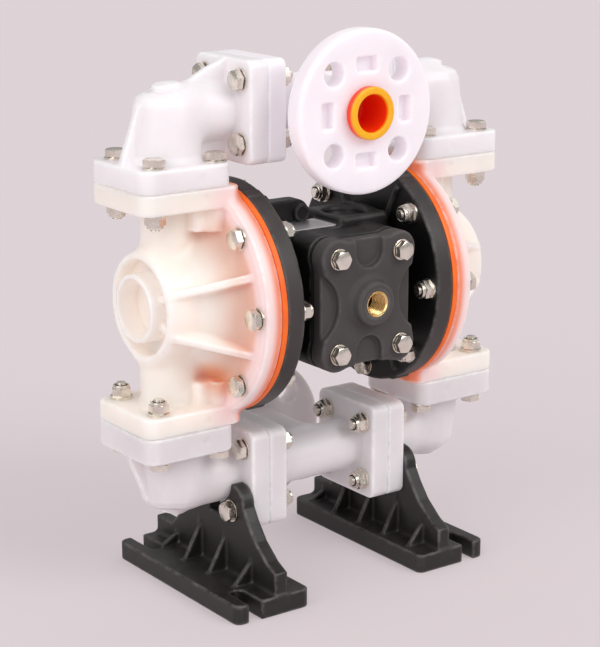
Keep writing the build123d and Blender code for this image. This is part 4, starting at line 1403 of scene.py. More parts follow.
    def _turns(self) -> NodeTree:
        """A stack of thread ridges along its own axis."""
        tree = Tree("Thread turns", "GeometryNodeTree")
        radius, ridge, pitch, count = tree.takes(Radius=0.003, Ridge=0.0003, Pitch=0.001, Turns=4)
        step = tree.node("ShaderNodeCombineXYZ", {"Z": pitch})
        line = tree.node("GeometryNodeMeshLine", {
            "Count": count, "Start Location": (0, 0, 0), "Offset": step.outputs[0]})
        ring = self._ring(tree, radius, ridge, 0.0, 28)
        copies = tree.node("GeometryNodeInstanceOnPoints", {
            "Points": line.outputs[0], "Instance": ring})
        real = tree.node("GeometryNodeRealizeInstances", {0: copies.outputs[0]})
        tree.gives("Geometry", real.outputs[0], "Geometry")
        return tree.tree

    def _placed_turns(self, tree: Tree, *sizes: object) -> Socket:
        """The stack of thread ridges in another tree: radius, ridge, pitch and turns."""
        turns = tree.node("GeometryNodeGroup")
        turns.node_tree = self.turns
        names = ("Radius", "Ridge", "Pitch", "Turns")
        return feed(tree.tree, turns, dict(zip(names, sizes))).outputs[0]

    def _screws(self) -> NodeTree:
        """Hexagon screws with washers, head out along the direction."""
        tree = Tree("Hexagon screws", "GeometryNodeTree")
        (places, flats, height, washer, thick, radius, seed, finish) = tree.takes(
            Places="Geometry", Across_Flats=0.010, Head_Height=0.004, Washer_Radius=0.0062,
            Washer_Thickness=0.0016, Shank_Radius=0.003, Seed=3, Finish="Material")
        head = self._chamfered_hexagon(tree, flats, thick, height)
        neck = self._bar(tree, 32, tree.times(flats, self.NECK_RADIUS),
                         tree.times(thick, 0.4), tree.times(thick, 0.8))
        lower = tree.times(thick, self.WASHER_LOWER)
        rim = tree.times(thick, self.WASHER_RIM)
        plate = self._bar(tree, 44, tree.math("SUBTRACT", washer, rim), 0.0, lower)
        belt = self._bar(tree, 44, washer, rim,
                         tree.math("SUBTRACT", lower, tree.times(rim, 2.0)))
        crown = self._spread(tree, places, self._joined(tree, head, neck, plate, belt), seed)
        length = tree.node("GeometryNodeInputNamedAttribute", {"Name": "length"},
                           data_type="FLOAT")
        stretch = tree.node("ShaderNodeCombineXYZ", {
            "X": 1.0, "Y": 1.0, "Z": length.outputs[0]})
        shank = self._spread(tree, places, self._bar(tree, 24, radius, -1.0, 1.0), seed,
                             stretch.outputs[0])
        self._finish(tree, self._joined(tree, crown, shank), finish)
        return tree.tree

    def _nuts(self) -> NodeTree:
        """Lock nuts with washers, collar, insert and the screw's threaded end."""
        tree = Tree("Lock nuts", "GeometryNodeTree")
        (places, flats, height, washer, thick, radius, reach, seed, finish, insert) = tree.takes(
            Places="Geometry", Across_Flats=0.010, Nut_Height=0.0066, Washer_Radius=0.0062,
            Washer_Thickness=0.0016, Screw_Radius=0.0029, Screw_Reach=0.0096, Seed=5,
            Finish="Material", Insert_Finish="Material")
        body = tree.times(height, self.HEXAGON_HEIGHT)
        hexagon_part = self._chamfered_hexagon(tree, flats, thick, body)
        top = tree.math("ADD", thick, height)
        collar_r = tree.times(flats, self.COLLAR_RADIUS)
        lip = tree.times(flats, self.COLLAR_LIP)
        collar = self._bar(tree, 40, collar_r, thick, tree.math("SUBTRACT", height, lip))
        edge = self._ring(tree, tree.math("SUBTRACT", collar_r, lip), lip,
                          tree.math("SUBTRACT", top, lip))
        washer_part = self._bar(tree, 44, washer, 0.0, thick)
        core = self._bar(tree, 24, tree.times(radius, self.CORE_RADIUS), 0.0, reach)
        sizes = [tree.times(radius, share) for share in (self.CORE_RADIUS, self.RIDGE, self.PITCH)]
        turns = self._placed_turns(tree, *sizes, 4)
        start = tree.math("SUBTRACT", reach, tree.times(radius, self.TURNS_FROM_END))
        ridges = self._moved(tree, turns, start)
        metal = self._joined(tree, hexagon_part, collar, edge, washer_part, core, ridges)
        seal = self._bar(tree, 32, tree.times(flats, self.INSERT_RADIUS), thick,
                         tree.math("SUBTRACT", height, tree.times(lip, 0.6)))
        tree.gives("Geometry", self._joined(
            tree, self._dressed(tree, self._spread(tree, places, metal, seed), finish),
            self._dressed(tree, self._spread(tree, places, seal, seed), insert)), "Geometry")
        return tree.tree

    def _thread(self) -> NodeTree:
        """Thread ridges that start at each place and go back along its direction."""
        tree = Tree("Inlet thread", "GeometryNodeTree")
        places, radius, ridge, pitch, count, finish = tree.takes(Places="Geometry", Radius=0.0066,
            Ridge=0.0004, Pitch=0.00134, Turns=9, Finish="Material")
        copies = self._spread(tree, places, self._placed_turns(tree, radius, ridge, pitch, count),
                              tree.node("FunctionNodeInputInt", integer=1).outputs[0])
        self._finish(tree, copies, finish)
        return tree.tree


# ------------------------------------------------------------------ fluid side
def port_outline(inner_x: float) -> Plate:
    """Outline of a port flange from an inner edge to the pump's end."""
    s = SIZES
    middle = (s.flange_out + inner_x) / 2
    return Plate((middle, 0), (s.flange_out - middle, s.flange_half_y), s.flange_corner)


def cut_marks(mould: Mould, x: float, z: float) -> None:
    """Sinks a round ejector mark in both long sides of a port flange."""
    for y in (-SIZES.flange_half_y, SIZES.flange_half_y):
        mould.cut(bar(Axis.Y, (x, z), MARK_RADIUS, y - MARK_DEPTH, y + MARK_DEPTH, 0.2), 0.3)


def cut_cage(mould: Mould, base: float) -> None:
    """Takes out the ball cage, and the bed of its seat, above a height on the ports' axis."""
    s = SIZES
    for radius, height in ((s.cage_radius, s.cage_height), (s.seat_radius, s.seat_thickness)):
        mould.cut(bar(Axis.Z, (s.port_x, 0), radius, base - OVER, base + height, 0))


@dataclass
class FluidCovers:
    """Dished covers with an open end cup, radial ribs and two port flanges."""

    rim_step: float = 0.9
    land_radius: float = 66.6
    dish_radius: float = 50.0
    boss_radius: float = 32.5
    boss_x: float = 116.0
    boss_foot_x: float = 93.5
    ring_radius: float = 20.0
    ring_bore: float = 17.3
    ring_x: float = 120.5
    cup_floor: float = 107.0
    cup_radius: float = 28.0
    rib_angles: tuple[float, ...] = (22.5, -22.5, 157.5, -157.5)
    rib_half: float = 2.25
    necks: Pair = (17.0, 15.0)
    port_boss: float = 6.5
    port_boss_end: float = 44.5

    def shape(self) -> Mould:
        """Moulds the right cover."""
        s = SIZES
        radius, split = s.body_radius, s.port_split
        mould = Mould((s.cover_in, -radius, -split), (s.flange_out, radius, split))
        mould.add(bar(Axis.X, (0, 0), radius, s.cover_in, s.cover_face - self.rim_step, 1.3))
        mould.add(bar(Axis.X, (0, 0), self.land_radius, s.cover_in + 2, s.cover_face, 0.7))
        mould.add(Turned(Axis.X, (0, 0), [
            (s.cover_in + 4, 0), (s.cover_in + 4, self.dish_radius + 1.5),
            (s.cover_face, self.dish_radius), (self.boss_foot_x, self.boss_radius + 1),
            (self.boss_foot_x + 4, 0)]), 4.0)
        mould.add(Turned(Axis.X, (0, 0), [
            (self.boss_foot_x - 8, 0), (self.boss_foot_x - 8, self.boss_radius + 1.2),
            (self.boss_x - 1.6, self.boss_radius), (self.boss_x, self.boss_radius - 1.6),
            (self.boss_x, 0)]), 6.0)
        self._ports(mould)
        self._ribs(mould)
        self._cup(mould)
        return self._hollows(mould)

    def _ports(self, mould: Mould) -> None:
        """Adds the necks, the port flanges and the bosses under their inner screws."""
        s = SIZES
        outline = port_outline(s.cover_in)
        inner = s.port_split - s.cover_flange
        for side, neck in zip((-1, 1), self.necks):
            mould.add(bar(Axis.Z, (s.port_x, 0), neck, side * 20, side * (inner + 5), 0.5), 7.0)
            mould.add(Slab(Axis.Z, outline, side * inner, side * s.port_split, 1.2), 3.5)
            low, high = side * self.port_boss_end, side * (inner + 4)
            for y in (-s.port_bolt_dy, s.port_bolt_dy):
                mould.add(bar(Axis.Z, (s.port_x - s.port_bolt_dx, y), self.port_boss, low, high,
                              1.0), 2.0)
            mould.add(block((s.cover_in + 4, -s.port_bolt_dy - 2, low),
                            (s.port_x - 5, s.port_bolt_dy + 2, high), 4.0, 2.5), 3.0)
            cut_marks(mould, s.port_x - 8, side * (s.port_split - 5.0))

    def _ribs(self, mould: Mould) -> None:
        """Adds the four radial ribs between the rim and the boss."""
        face, boss = SIZES.cover_face, self.boss_x
        section = Polygon(((face - 2, 36), (face - 2, 63), (boss - 1.5, self.boss_radius - 0.2),
                           (boss - 1.5, 24)))
        rib = Slab(Axis.Z, section, -self.rib_half, self.rib_half, 0.8)
        for angle in self.rib_angles:
            mould.add(Spun(rib, angle), 2.2)

    def _cup(self, mould: Mould) -> None:
        """Opens the end cup round its inner ring and webs."""
        floor = self.cup_floor
        mould.cut(bar(Axis.X, (0, 0), self.cup_radius, floor, self.boss_x + OVER, 0.8), 1.4)
        web = block((floor - 3, -self.cup_radius - 1, -self.rib_half),
                    (self.boss_x - 2, self.cup_radius + 1, self.rib_half), 0.0, 0.8)
        for angle in self.rib_angles[:2]:
            mould.add(Spun(web, angle), 1.4)
        mould.add(bar(Axis.X, (0, 0), self.ring_radius, floor - 3, self.ring_x, 0.9), 1.6)
        mould.cut(bar(Axis.X, (0, 0), self.ring_bore, floor, self.ring_x + OVER, 0.8), 0.9)

    def _hollows(self, mould: Mould) -> Mould:
        """Takes out the pumping chamber, the ports and the lower ball cage."""
        s = SIZES
        mould.cut(Turned(Axis.X, (0, 0), [
            (s.cover_in - OVER, 0), (s.cover_in - OVER, 54), (s.cover_in, 54), (72, 50), (90, 29),
            (97, 22), (97, 0)]))
        end = s.port_split + OVER
        mould.cut(bar(Axis.Z, (s.port_x, 0), s.port_bore, -end, end, 0))
        cut_cage(mould, -s.port_split)
        return mould

    def build(self, paint: Paintbox) -> None:
        """Makes both covers."""
        settle_pair(self.shape().skin(), paint, "cover", "cover", "fluid_cover")


@dataclass
class Elbows:
    """Elbows that turn each port into the manifold, with fins and a gate boss."""

    flange_in: float = 70.0
    foot_radius: float = 22.0
    top_radius: float = 17.8
    top_z: float = 122.5
    cap_radius: float = 7.2
    cap_z: float = 126.5
    arm_radius: float = 17.0
    fin_half: float = 2.5

    def shape(self, plate: float, with_cage: bool, inner_fin: bool) -> Mould:
        """Moulds the right elbow of the discharge side.

        Args:
            plate: Thickness of the port flange.
            with_cage: Whether the ball cage is in this elbow.
            inner_fin: Whether a fin runs to the square flange.

        Returns:
            The casting.
        """
        s = SIZES
        plate_z = s.port_split + plate
        half_z = s.square_half[1]
        mould = Mould((s.square_split, -s.flange_half_y, s.port_split),
                      (s.flange_out, s.flange_half_y, s.arm_z + half_z))
        mould.add(Slab(Axis.Z, port_outline(self.flange_in), s.port_split, plate_z, 1.2))
        mould.add(Turned(Axis.Z, (s.port_x, 0), [
            (s.port_split + 4, 0), (s.port_split + 4, self.foot_radius),
            (plate_z + 1.5, self.foot_radius), (plate_z + 4, self.foot_radius - 1.5),
            (self.top_z - 6, self.top_radius), (self.top_z - 2.2, self.top_radius - 1.8),
            (self.top_z, self.top_radius - 5.8), (self.top_z, 0)]), 3.0)
        cap = bar(Axis.Z, (s.port_x, 0), self.cap_radius, self.top_z - 6, self.cap_z, 0.8)
        arm = bar(Axis.X, (0, s.arm_z), self.arm_radius, s.square_split + 6, s.port_x, 1.0)
        mould.add(cap, 1.6).add(arm, 7.0)
        square = Plate((0, s.arm_z), s.square_half, s.square_corner)
        face_x = s.square_split + s.square_thickness
        mould.add(Slab(Axis.X, square, s.square_split, face_x, 1.2), 3.5)
        outer = Polygon(((s.port_x, plate_z - 3), (127, plate_z - 3), (127, plate_z),
                         (125.5, plate_z + 5), (115.5, self.top_z - 6), (106, self.top_z),
                         (s.port_x, self.top_z)))
        mould.add(Slab(Axis.Y, outer, -self.fin_half, self.fin_half, 0.9), 2.0)
        under = Polygon(((face_x - 4, s.arm_z), (face_x - 4, plate_z - 1),
                         (s.port_x, plate_z - 1), (s.port_x, s.arm_z)))
        mould.add(Slab(Axis.Y, under, -self.fin_half, self.fin_half, 0.9), 2.0)
        cut_marks(mould, s.port_x - 6, s.port_split + 6.5)
        if inner_fin:
            inner = Polygon(((face_x - 4, s.arm_z), (face_x - 4, s.arm_z + half_z - 1.5),
                             (face_x, s.arm_z + half_z - 1.0), (70, 134), (87, 125.5),
                             (s.port_x, self.top_z), (s.port_x, s.arm_z)))
            mould.add(Slab(Axis.Y, inner, -self.fin_half, self.fin_half, 0.9), 2.0)
        return self._hollows(mould, with_cage)

    @staticmethod
    def _hollows(mould: Mould, with_cage: bool) -> Mould:
        """Takes out the flow way and, where it has one, the ball cage."""
        s = SIZES
        mould.cut(bar(Axis.Z, (s.port_x, 0), s.port_bore, s.port_split - OVER, s.arm_z, 0))
        mould.cut(bar(Axis.X, (0, s.arm_z), s.port_bore, s.square_split - OVER, s.port_x, 0))
        mould.cut(Ball((s.port_x, 0, s.arm_z), s.port_bore))
        if with_cage:
            cut_cage(mould, s.port_split)
        return mould

    def build(self, paint: Paintbox) -> None:
        """Makes the four elbows."""
        top = self.shape(SIZES.top_flange, True, True).skin()
        bottom = self.shape(SIZES.bottom_flange, False, False).skin().mirrored(Axis.Z)
        settle_pair(top, paint, "manifold", "discharge_bend", "discharge_elbow")
        settle_pair(bottom, paint, "suction", "suction_bend", "suction_elbow")


@dataclass
class Tees:
    """Manifold pipes with two square flanges and one round pipe flange each."""

    arm_radius: float = 15.7
    face_y: float = SIZES.pipe_face_y
    flange_radius: float = 47.5
    flange_thickness: float = 13.0
    neck_radius: float = 17.0
    bolt_circle: float = 32.5
    bolt_hole: float = 7.0
    pocket_radius: float = 27.5
    pocket_half: Pair = (7.5, 4.25)
    pocket_depth: float = 6.0
    plug_bore: float = 12.1
    plug_depth: float = 20.6
    pipe_bore: float = 8.5

    def shape(self) -> Mould:
        """Moulds the discharge tee."""
        s = SIZES
        z = s.arm_z
        mould = Mould((-s.square_split, self.face_y, z - self.flange_radius),
                      (s.square_split, s.square_half[0], z + self.flange_radius))
        inner = s.square_split - s.square_thickness
        mould.add(bar(Axis.X, (0, z), self.arm_radius, -inner - 6, inner + 6, 1.0))
        square = Plate((0, z), s.square_half, s.square_corner)
        for side in (-1, 1):
            mould.add(Slab(Axis.X, square, side * inner, side * s.square_split, 1.2), 3.5)
        back_y = self.face_y + self.flange_thickness
        mould.add(bar(Axis.Y, (0, z), self.neck_radius, self.face_y + 6, 0, 1.0), 5.0)
        mould.add(Slab(Axis.Y, Disc((0, z), self.flange_radius), self.face_y, back_y, 2.6), 5.0)
        self._flange_face(mould)
        mould.cut(bar(Axis.Y, (0, z), self.pipe_bore, self.face_y - OVER, 0, 0))
        mould.cut(bar(Axis.X, (0, z), s.port_bore, -s.square_split - OVER,
                      s.square_split + OVER, 0))
        return mould

    def _flange_face(self, mould: Mould) -> None:
        """Takes the pockets, bolt holes and plug bore out of the round flange."""
        z = SIZES.arm_z
        pocket = Slab(Axis.Y, Plate((0, z + self.pocket_radius), self.pocket_half, 1.6),
                      self.face_y - 6, self.face_y + self.pocket_depth, 0.8)
        hole = bar(Axis.Y, (0, z + self.bolt_circle), self.bolt_hole, self.face_y - OVER,
                   self.face_y + self.flange_thickness + OVER, 0)
        for angle in range(0, 360, 90):
            mould.cut(Spun(pocket, angle, Axis.Y, (0, z)), 1.4)
            mould.cut(Spun(hole, angle + 45, Axis.Y, (0, z)), 1.0)
        mould.cut(bar(Axis.Y, (0, z), self.plug_bore, self.face_y - OVER,
                      self.face_y + self.plug_depth, 0))

    def build(self, paint: Paintbox) -> None:
        """Makes the discharge tee and, turned to the back, the suction tee."""
        skin = self.shape().skin()
        settle(skin.placed("discharge_manifold"), paint, "flange", BODY, "discharge_tee")
        settle(skin.mirrored(Axis.Y).mirrored(Axis.Z).placed("suction_manifold"), paint,
               "suction", BODY, "suction_tee")


@dataclass
class TransitPlugs:
    """Cup-shaped push-in plugs of the two pipe flanges."""

    face_y: float = SIZES.pipe_face_y
    stem_radius: float = 12.05
    stem_length: float = 19.6
    lip_radius: float = 15.25
    lip_thickness: float = 6.0
    cup_radius: float = 10.75
    floor: float = 2.0
    step_radius: float = 4.0

    def _profile(self, turn: int) -> list[Pair]:
        """Half section of the plug; turn is 1 for the front and -1 for the back."""
        lip = self.face_y - self.lip_thickness
        end = self.face_y + self.stem_length
        corners = [
            (end, 0), (end, self.stem_radius), (self.face_y, self.stem_radius),
            (self.face_y, self.lip_radius), (lip, self.lip_radius),
            (lip, self.cup_radius + 0.5), (lip + 1.4, self.cup_radius),
            (end - self.floor, self.cup_radius - 0.5), (end - self.floor, self.step_radius),
            (end - self.floor - 0.8, self.step_radius - 0.6), (end - self.floor - 0.8, 0)]
        return [(turn * y, radius) for y, radius in corners]

    def build(self, paint: Paintbox) -> None:
        """Makes both plugs."""
        for level, turn, z in (("discharge", 1, SIZES.arm_z), ("suction", -1, -SIZES.arm_z)):
            plug = lathe(level + "_transit_plug", Axis.Y, (0, z), self._profile(turn), 1.5)
            settle(plug, paint, "plug", level + "_plug", level + "_plug")


# ------------------------------------------------------------------ diaphragms
@dataclass
class Diaphragms:
    """Diaphragms: a rim on the pump, a middle on the shaft, and curved gores between them."""

    middle_x: float = 62.2
    rim_thickness: float = 3.4
    sheet: float = 3.0
    rim_bore: float = 53.0
    middle_radius: float = 29.0
    shaft_radius: float = 8.0
    bulge: float = 4.0
    bend_from: float = 49.0
    gores: int = 8
    steps: int = 6
    waves: int = 14

    def _face(self, turn: int) -> list[Pair]:
        """One face of the sheet as (x, radius), from the rim to the middle."""
        line = []
        for k in range(self.waves + 1):
            part = k / self.waves
            thick = self.rim_thickness + (self.sheet - self.rim_thickness) * part
            x = self.middle_x + self.bulge * math.sin(math.pi * part) ** 2 + turn * thick / 2
            line.append((x, self.rim_bore + (self.middle_radius - self.rim_bore) * part))
        return line

    def _gore(self, name: str, side: int, middle: float) -> Piece:
        """Makes one gore of the rolling part.

        Args:
            name: Name of the gore.
            side: -1 for the left diaphragm, 1 for the right one.
            middle: Angle of the gore's middle line.

        Returns:
            The gore.
        """
        section = [*self._face(1), *reversed(self._face(-1))]
        count = len(section)
        points: list[Point] = []
        faces: list[tuple[int, ...]] = []
        for step in range(self.steps + 1):
            angle = middle + math.tau / self.gores * (step / self.steps - 0.5)
            points += [(side * x, r * math.cos(angle), r * math.sin(angle)) for x, r in section]
        for step in range(self.steps):
            a, b = step * count, (step + 1) * count
            faces += [(a + k, a + (k + 1) % count, b + (k + 1) % count, b + k)
                      for k in range(count)]
        for first in (0, self.steps * count):
            faces += [(first + k, first + k + 1, first + count - 2 - k, first + count - 1 - k)
                      for k in range(self.waves)]
        return points_mesh(name, points, faces)

    def _ring(self, name: str, side: int, thickness: float, inner: float,
              outer: float) -> Piece:
        """Makes a flat ring of the sheet."""
        back, front = (side * (self.middle_x + turn * thickness / 2) for turn in (-1, 1))
        return lathe(name, Axis.X, (0, 0), [
            (back, inner), (front, inner), (front, outer), (back, outer)], 0.3)

    def build(self, paint: Paintbox) -> None:
        """Makes both diaphragms."""
        for side, name in ((-1, "left"), (1, "right")):
            rim = self._ring("diaphragm_rim_" + name, side, self.rim_thickness, self.rim_bore,
                             SIZES.body_radius)
            settle(rim, paint, "diaphragm", BODY, "diaphragm_" + name)
            middle = self._ring("diaphragm_middle_" + name, side, self.sheet,
                                self.shaft_radius, self.middle_radius)
            settle(middle, paint, "diaphragm", SHAFT)
            for number in range(self.gores):
                angle = math.tau * (number + 0.5) / self.gores
                gore = self._gore(f"diaphragm_gore_{name}_{number + 1}", side, angle)
                paint.dress(gore, "diaphragm")
                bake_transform(gore)
                LOG.info("%s bends between %s and %s", gore.name, BODY, SHAFT)


# ------------------------------------------------------------------ air side
@dataclass
class AirChambers:
    """Black chamber discs behind the diaphragms."""

    dish_radius: float = 36.0
    dish_back: float = 42.5
    dish_floor: float = 46.5
    shaft_clear: float = 8.6
    rib_angles: tuple[float, ...] = (62.0, -118.0, -62.0, 118.0)
    tab_angles: tuple[float, ...] = (22.5, -22.5, 157.5, -157.5)
    tab_radius: float = 70.0

    def shape(self) -> Mould:
        """Moulds the right chamber."""
        s = SIZES
        radius = s.body_radius
        reach = self.tab_radius
        mould = Mould((self.dish_back, -reach, -reach), (s.chamber_front, reach, reach))
        mould.add(bar(Axis.X, (0, 0), radius, s.chamber_back, s.chamber_front, 1.0))
        mould.add(Turned(Axis.X, (0, 0), [
            (self.dish_back, 0), (self.dish_back, self.dish_radius),
            (s.chamber_back, self.dish_radius + 3), (s.chamber_back + 6, self.dish_radius + 3),
            (s.chamber_back + 6, 0)]), 3.0)
        rib = block((s.chamber_back - 2.2, self.dish_radius, -1.6),
                    (s.chamber_back + 3, radius - 4, 1.6), 0.6, 0.6)
        for angle in self.rib_angles:
            mould.add(Spun(rib, angle), 1.6)
        tab = block((s.chamber_back + 0.8, -3.0, radius - 4),
                    (s.chamber_front - 0.8, 3.0, self.tab_radius), 0.5, 0.4)
        for angle in self.tab_angles:
            mould.add(Spun(tab, angle), 0.6)
        cavity = [(s.chamber_front + OVER, 0), (s.chamber_front + OVER, 54), (s.chamber_front, 54),
                  (s.chamber_back + 4.5, 46), (s.chamber_back + 4.5, self.dish_radius - 1),
                  (self.dish_floor, self.dish_radius - 4), (self.dish_floor, 0)]
        mould.cut(Turned(Axis.X, (0, 0), cavity))
        for y, bore in ((0, self.shaft_clear), (s.pilot_y, s.pilot_bore)):
            mould.cut(bar(Axis.X, (y, 0), bore, self.dish_back - OVER, self.dish_floor + OVER, 0))
        return mould

    def build(self, paint: Paintbox) -> None:
        """Makes both chambers."""
        settle_pair(self.shape().skin(), paint, "disc", "chamber", "air_chamber")


@dataclass
class CentreBlock:
    """Block between the chambers: pad, beams, hollowed saddle, low ribs, exhaust mouth."""

    half: Point = (42.5, 30.0, 33.0)
    disc_radius: float = 44.0
    disc_thickness: float = 5.0
    low_rib_y: float = 20.0
    low_rib_z: float = -39.0
    mouth_radius: float = 13.5
    exhaust_radius: float = 8.5
    bush_radius: float = 11.0
    root_z: float = 30.0
    pad_z: float = 38.4
    pad_end: Pair = (6.0, -5.0)
    beam_z: float = 52.0
    beam_back_y: float = 6.0
    beam_end: Pair = (1.0, 10.0)         # where it ends in x, and its corner radius
    rear_beam: Point = (-22.0, 22.0, 54.0)
    plug: Point = (-7.0, 44.0, 5.4)      # x, z and radius of the plugged air way
    saddle_z: float = 43.0
    saddle_back_y: float = 10.0
    hollow: Point = (22.5, -11.0, 12.5)  # x, y and radius
    hollow_z: float = 37.0
    plate_thickness: float = 0.8

    def shape(self) -> Mould:
        """Moulds the block."""
        half_x, half_y, half_z = self.half
        top = self.rear_beam[2]
        mould = Mould((-half_x, -half_y, -self.disc_radius), (half_x, half_y + 4, top))
        mould.add(Slab(Axis.X, Plate((0, 0), (half_y, half_z), 6.0), -half_x, half_x, 0.6))
        for side in (-1, 1):
            mould.add(bar(Axis.X, (0, 0), self.disc_radius, side * half_x,
                          side * (half_x - self.disc_thickness), 0.8), 3.0)
            low = side * self.low_rib_y
            mould.add(block((-half_x + 3, low - 3, self.low_rib_z), (half_x - 3, low + 3, -30),
                            1.0, 1.0), 2.5)
        self._top(mould)
        mould.add(bar(Axis.Y, (0, 0), self.mouth_radius, half_y - 5, half_y + 4, 0.8), 2.5)
        for y, bore in ((0, self.bush_radius), (SIZES.pilot_y, SIZES.pilot_bore)):
            mould.cut(bar(Axis.X, (y, 0), bore, -half_x - OVER, half_x + OVER, 0))
        mould.cut(bar(Axis.Y, (0, 0), self.exhaust_radius, half_y - 14, half_y + 12, 0), 0.8)
        return mould

    def _top(self, mould: Mould) -> None:
        """Adds the pad, the two beams with the plugged air way, and the saddle."""
        half_x, half_y, _ = self.half
        pad_x, pad_y = self.pad_end
        end_x, radius = self.beam_end
        mould.add(block((-half_x, -half_y, self.root_z), (pad_x, pad_y + 1, self.pad_z),
                        0.8, 0.8))
        side = Polygon(((-half_x, self.root_z), (-half_x, self.beam_z),
                        *reversed(arc((end_x - radius, self.beam_z - radius), radius, 0, 90, 8)),
                        (end_x, self.root_z)))
        mould.add(Slab(Axis.Y, side, pad_y, self.beam_back_y, 1.0), 1.5)
        rear_x, rear_y, rear_z = self.rear_beam
        mould.add(block((-half_x, self.beam_back_y - 1, self.root_z), (rear_x, rear_y, rear_z),
                        2.0, 1.2), 1.5)
        mould.add(block((pad_x, -half_y, self.root_z), (half_x, self.saddle_back_y, self.saddle_z),
                        4.0, 3.0), 3.0)
        x, y, hollow = self.hollow
        mould.cut(bar(Axis.Z, (x, y), hollow, self.hollow_z, self.saddle_z + OVER, 3.0), 3.0)
        x, z, plug = self.plug
        mould.add(bar(Axis.Y, (x, z), plug, pad_y - 4, pad_y + 2, 0.7), 1.2)
        mould.cut(bar(Axis.Y, (x, z), plug - 1.8, pad_y - 12, pad_y - 2.6, 0.3), 0.5)

    def plate(self) -> Mould:
        """Moulds the bare metal plate on the pad."""
        pad_x, pad_y = self.pad_end
        mould = Mould((-self.half[0], -self.half[1], self.pad_z - 0.5),
                      (pad_x, pad_y, self.pad_z + self.plate_thickness), 0.3)
        top = self.pad_z + self.plate_thickness
        mould.add(block((-38.0, -28.6, self.pad_z - 0.3), (pad_x - 2.2, pad_y - 0.6, top),
                        1.6, 0.3))
        mould.cut(block((-35.6, -26.4, top - 0.3), (pad_x - 4.6, pad_y - 2.8, top + 4),
                        1.0, 0.2), 0.3)
        return mould

    def build(self, paint: Paintbox) -> None:
        """Makes the block and its plate."""
        settle(self.shape().skin().placed("centre_housing"), paint, "block", BODY,
               "center_block")
        settle(self.plate().skin().placed("bare_plate"), paint, "aluminium", BODY)


@dataclass
class AirValve:
    """Valve body and its cover with a raised cross, four sunk fields and the inlet boss."""

    half: Pair = (32.5, 37.5)
    ear_radius: float = 11.0
    body_y: Pair = (-30.0, -52.0)
    gasket: float = 1.5
    face_y: float = SIZES.valve_face_y
    boss_y: float = -73.0
    boss_radius: float = 13.0
    recess: float = 4.0
    lens_radius: float = 22.0
    lens_x: float = 44.0
    end_radius: float = 9.5
    end_z: float = 30.0
    spool_y: float = -41.0
    sleeve_radius: float = 9.0
    insert_radius: float = 9.0
    insert_length: float = 15.0
    mouth_radius: float = 7.7
    mouth_depth: float = 0.9
    inlet_radius: float = 6.58
    feed_radius: float = 5.0
    voxel: float = 0.6

    def outline(self) -> Merged:
        """Outline of the valve in (x, z): a rectangle with four round ears."""
        x, z = SIZES.valve_bolt
        ears = tuple(Disc((i * x, j * z), self.ear_radius) for i in (-1, 1) for j in (-1, 1))
        return Merged((Plate((0, 0), self.half, 9.0), *ears), 2.5)

    def _box(self, back: float, front: float) -> tuple[Point, Point]:
        """Lowest and highest corner of a piece with the valve's outline."""
        x, z = self.half
        return (-x - 3, front, -z - 3), (x + 3, back, z + 3)

    def body(self) -> Mould:
        """Moulds the valve body."""
        back, front = self.body_y
        mould = Mould(*self._box(back, front), self.voxel * 1.3)
        mould.add(Slab(Axis.Y, self.outline(), back, front, 1.0))
        mould.cut(bar(Axis.X, (self.spool_y, 0), self.sleeve_radius, -50, 50, 0), 1.0)
        return mould

    def cover(self) -> Mould:
        """Moulds the valve cover."""
        back = self.body_y[1] - self.gasket
        mould = Mould(*self._box(back, self.boss_y), self.voxel)
        mould.add(Slab(Axis.Y, self.outline(), back, self.face_y, 1.9))
        floor = self.face_y + self.recess
        for side in (-1, 1):
            mould.cut(bar(Axis.Y, (side * self.lens_x, 0), self.lens_radius, floor,
                          self.face_y - OVER, 1.0), 1.3)
            cup = Merged((Disc((0, side * self.end_z), self.end_radius),
                          Plate((0, side * (self.end_z + 12)), (self.end_radius, 12.0))), 0.0)
            mould.cut(Slab(Axis.Y, cup, floor, self.face_y - OVER, 1.0), 1.3)
        mould.add(Turned(Axis.Y, (0, 0), [
            (self.face_y + 6, 0), (self.face_y + 6, self.boss_radius + 2.5),
            (self.face_y - 1.0, self.boss_radius + 2.5), (self.face_y - 2.4, self.boss_radius + 1),
            (self.boss_y + 1.2, self.boss_radius), (self.boss_y, self.boss_radius - 1.2),
            (self.boss_y, 0)]), 2.0)
        mould.cut(bar(Axis.Y, (0, 0), self.mouth_radius, self.boss_y - OVER, self.boss_y + 2, 0))
        mould.cut(bar(Axis.Y, (0, 0), self.insert_radius, self.boss_y + self.mouth_depth,
                      self.boss_y + self.insert_length, 0))
        mould.cut(bar(Axis.Y, (0, 0), self.feed_radius, self.boss_y, back + OVER, 0))
        return mould

    def insert(self, paint: Paintbox, trees: RepeatTrees) -> None:
        """Makes the brass insert and its thread."""
        y = self.boss_y
        end = y + self.insert_length
        ring = lathe("inlet_insert", Axis.Y, (0, 0), [
            (y, self.inlet_radius + 0.7), (y, self.mouth_radius - 0.05),
            (y + self.mouth_depth, self.mouth_radius - 0.05),
            (y + self.mouth_depth, self.insert_radius),
            (end, self.insert_radius), (end, self.inlet_radius),
            (y + 0.9, self.inlet_radius)], 0.12)
        settle(ring, paint, "brass", BODY, "air_inlet_insert")
        thread = grow("inlet_thread", trees.thread, [Place((0, y + 1.2, 0), (0, 1, 0))], {
            "Radius": (self.inlet_radius + 0.05) * MM, "Ridge": 0.45 * MM, "Pitch": 1.337 * MM,
            "Turns": 10, "Finish": paint.get("brass")})
        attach(thread, BODY)

    def build(self, paint: Paintbox, trees: RepeatTrees) -> None:
        """Makes the valve's pieces."""
        settle(self.body().skin().placed("valve_housing"), paint, "disc", BODY, "valve_body")
        settle(self.cover().skin().placed("valve_lid"), paint, "cover_black", BODY,
               "valve_cover")
        self.insert(paint, trees)


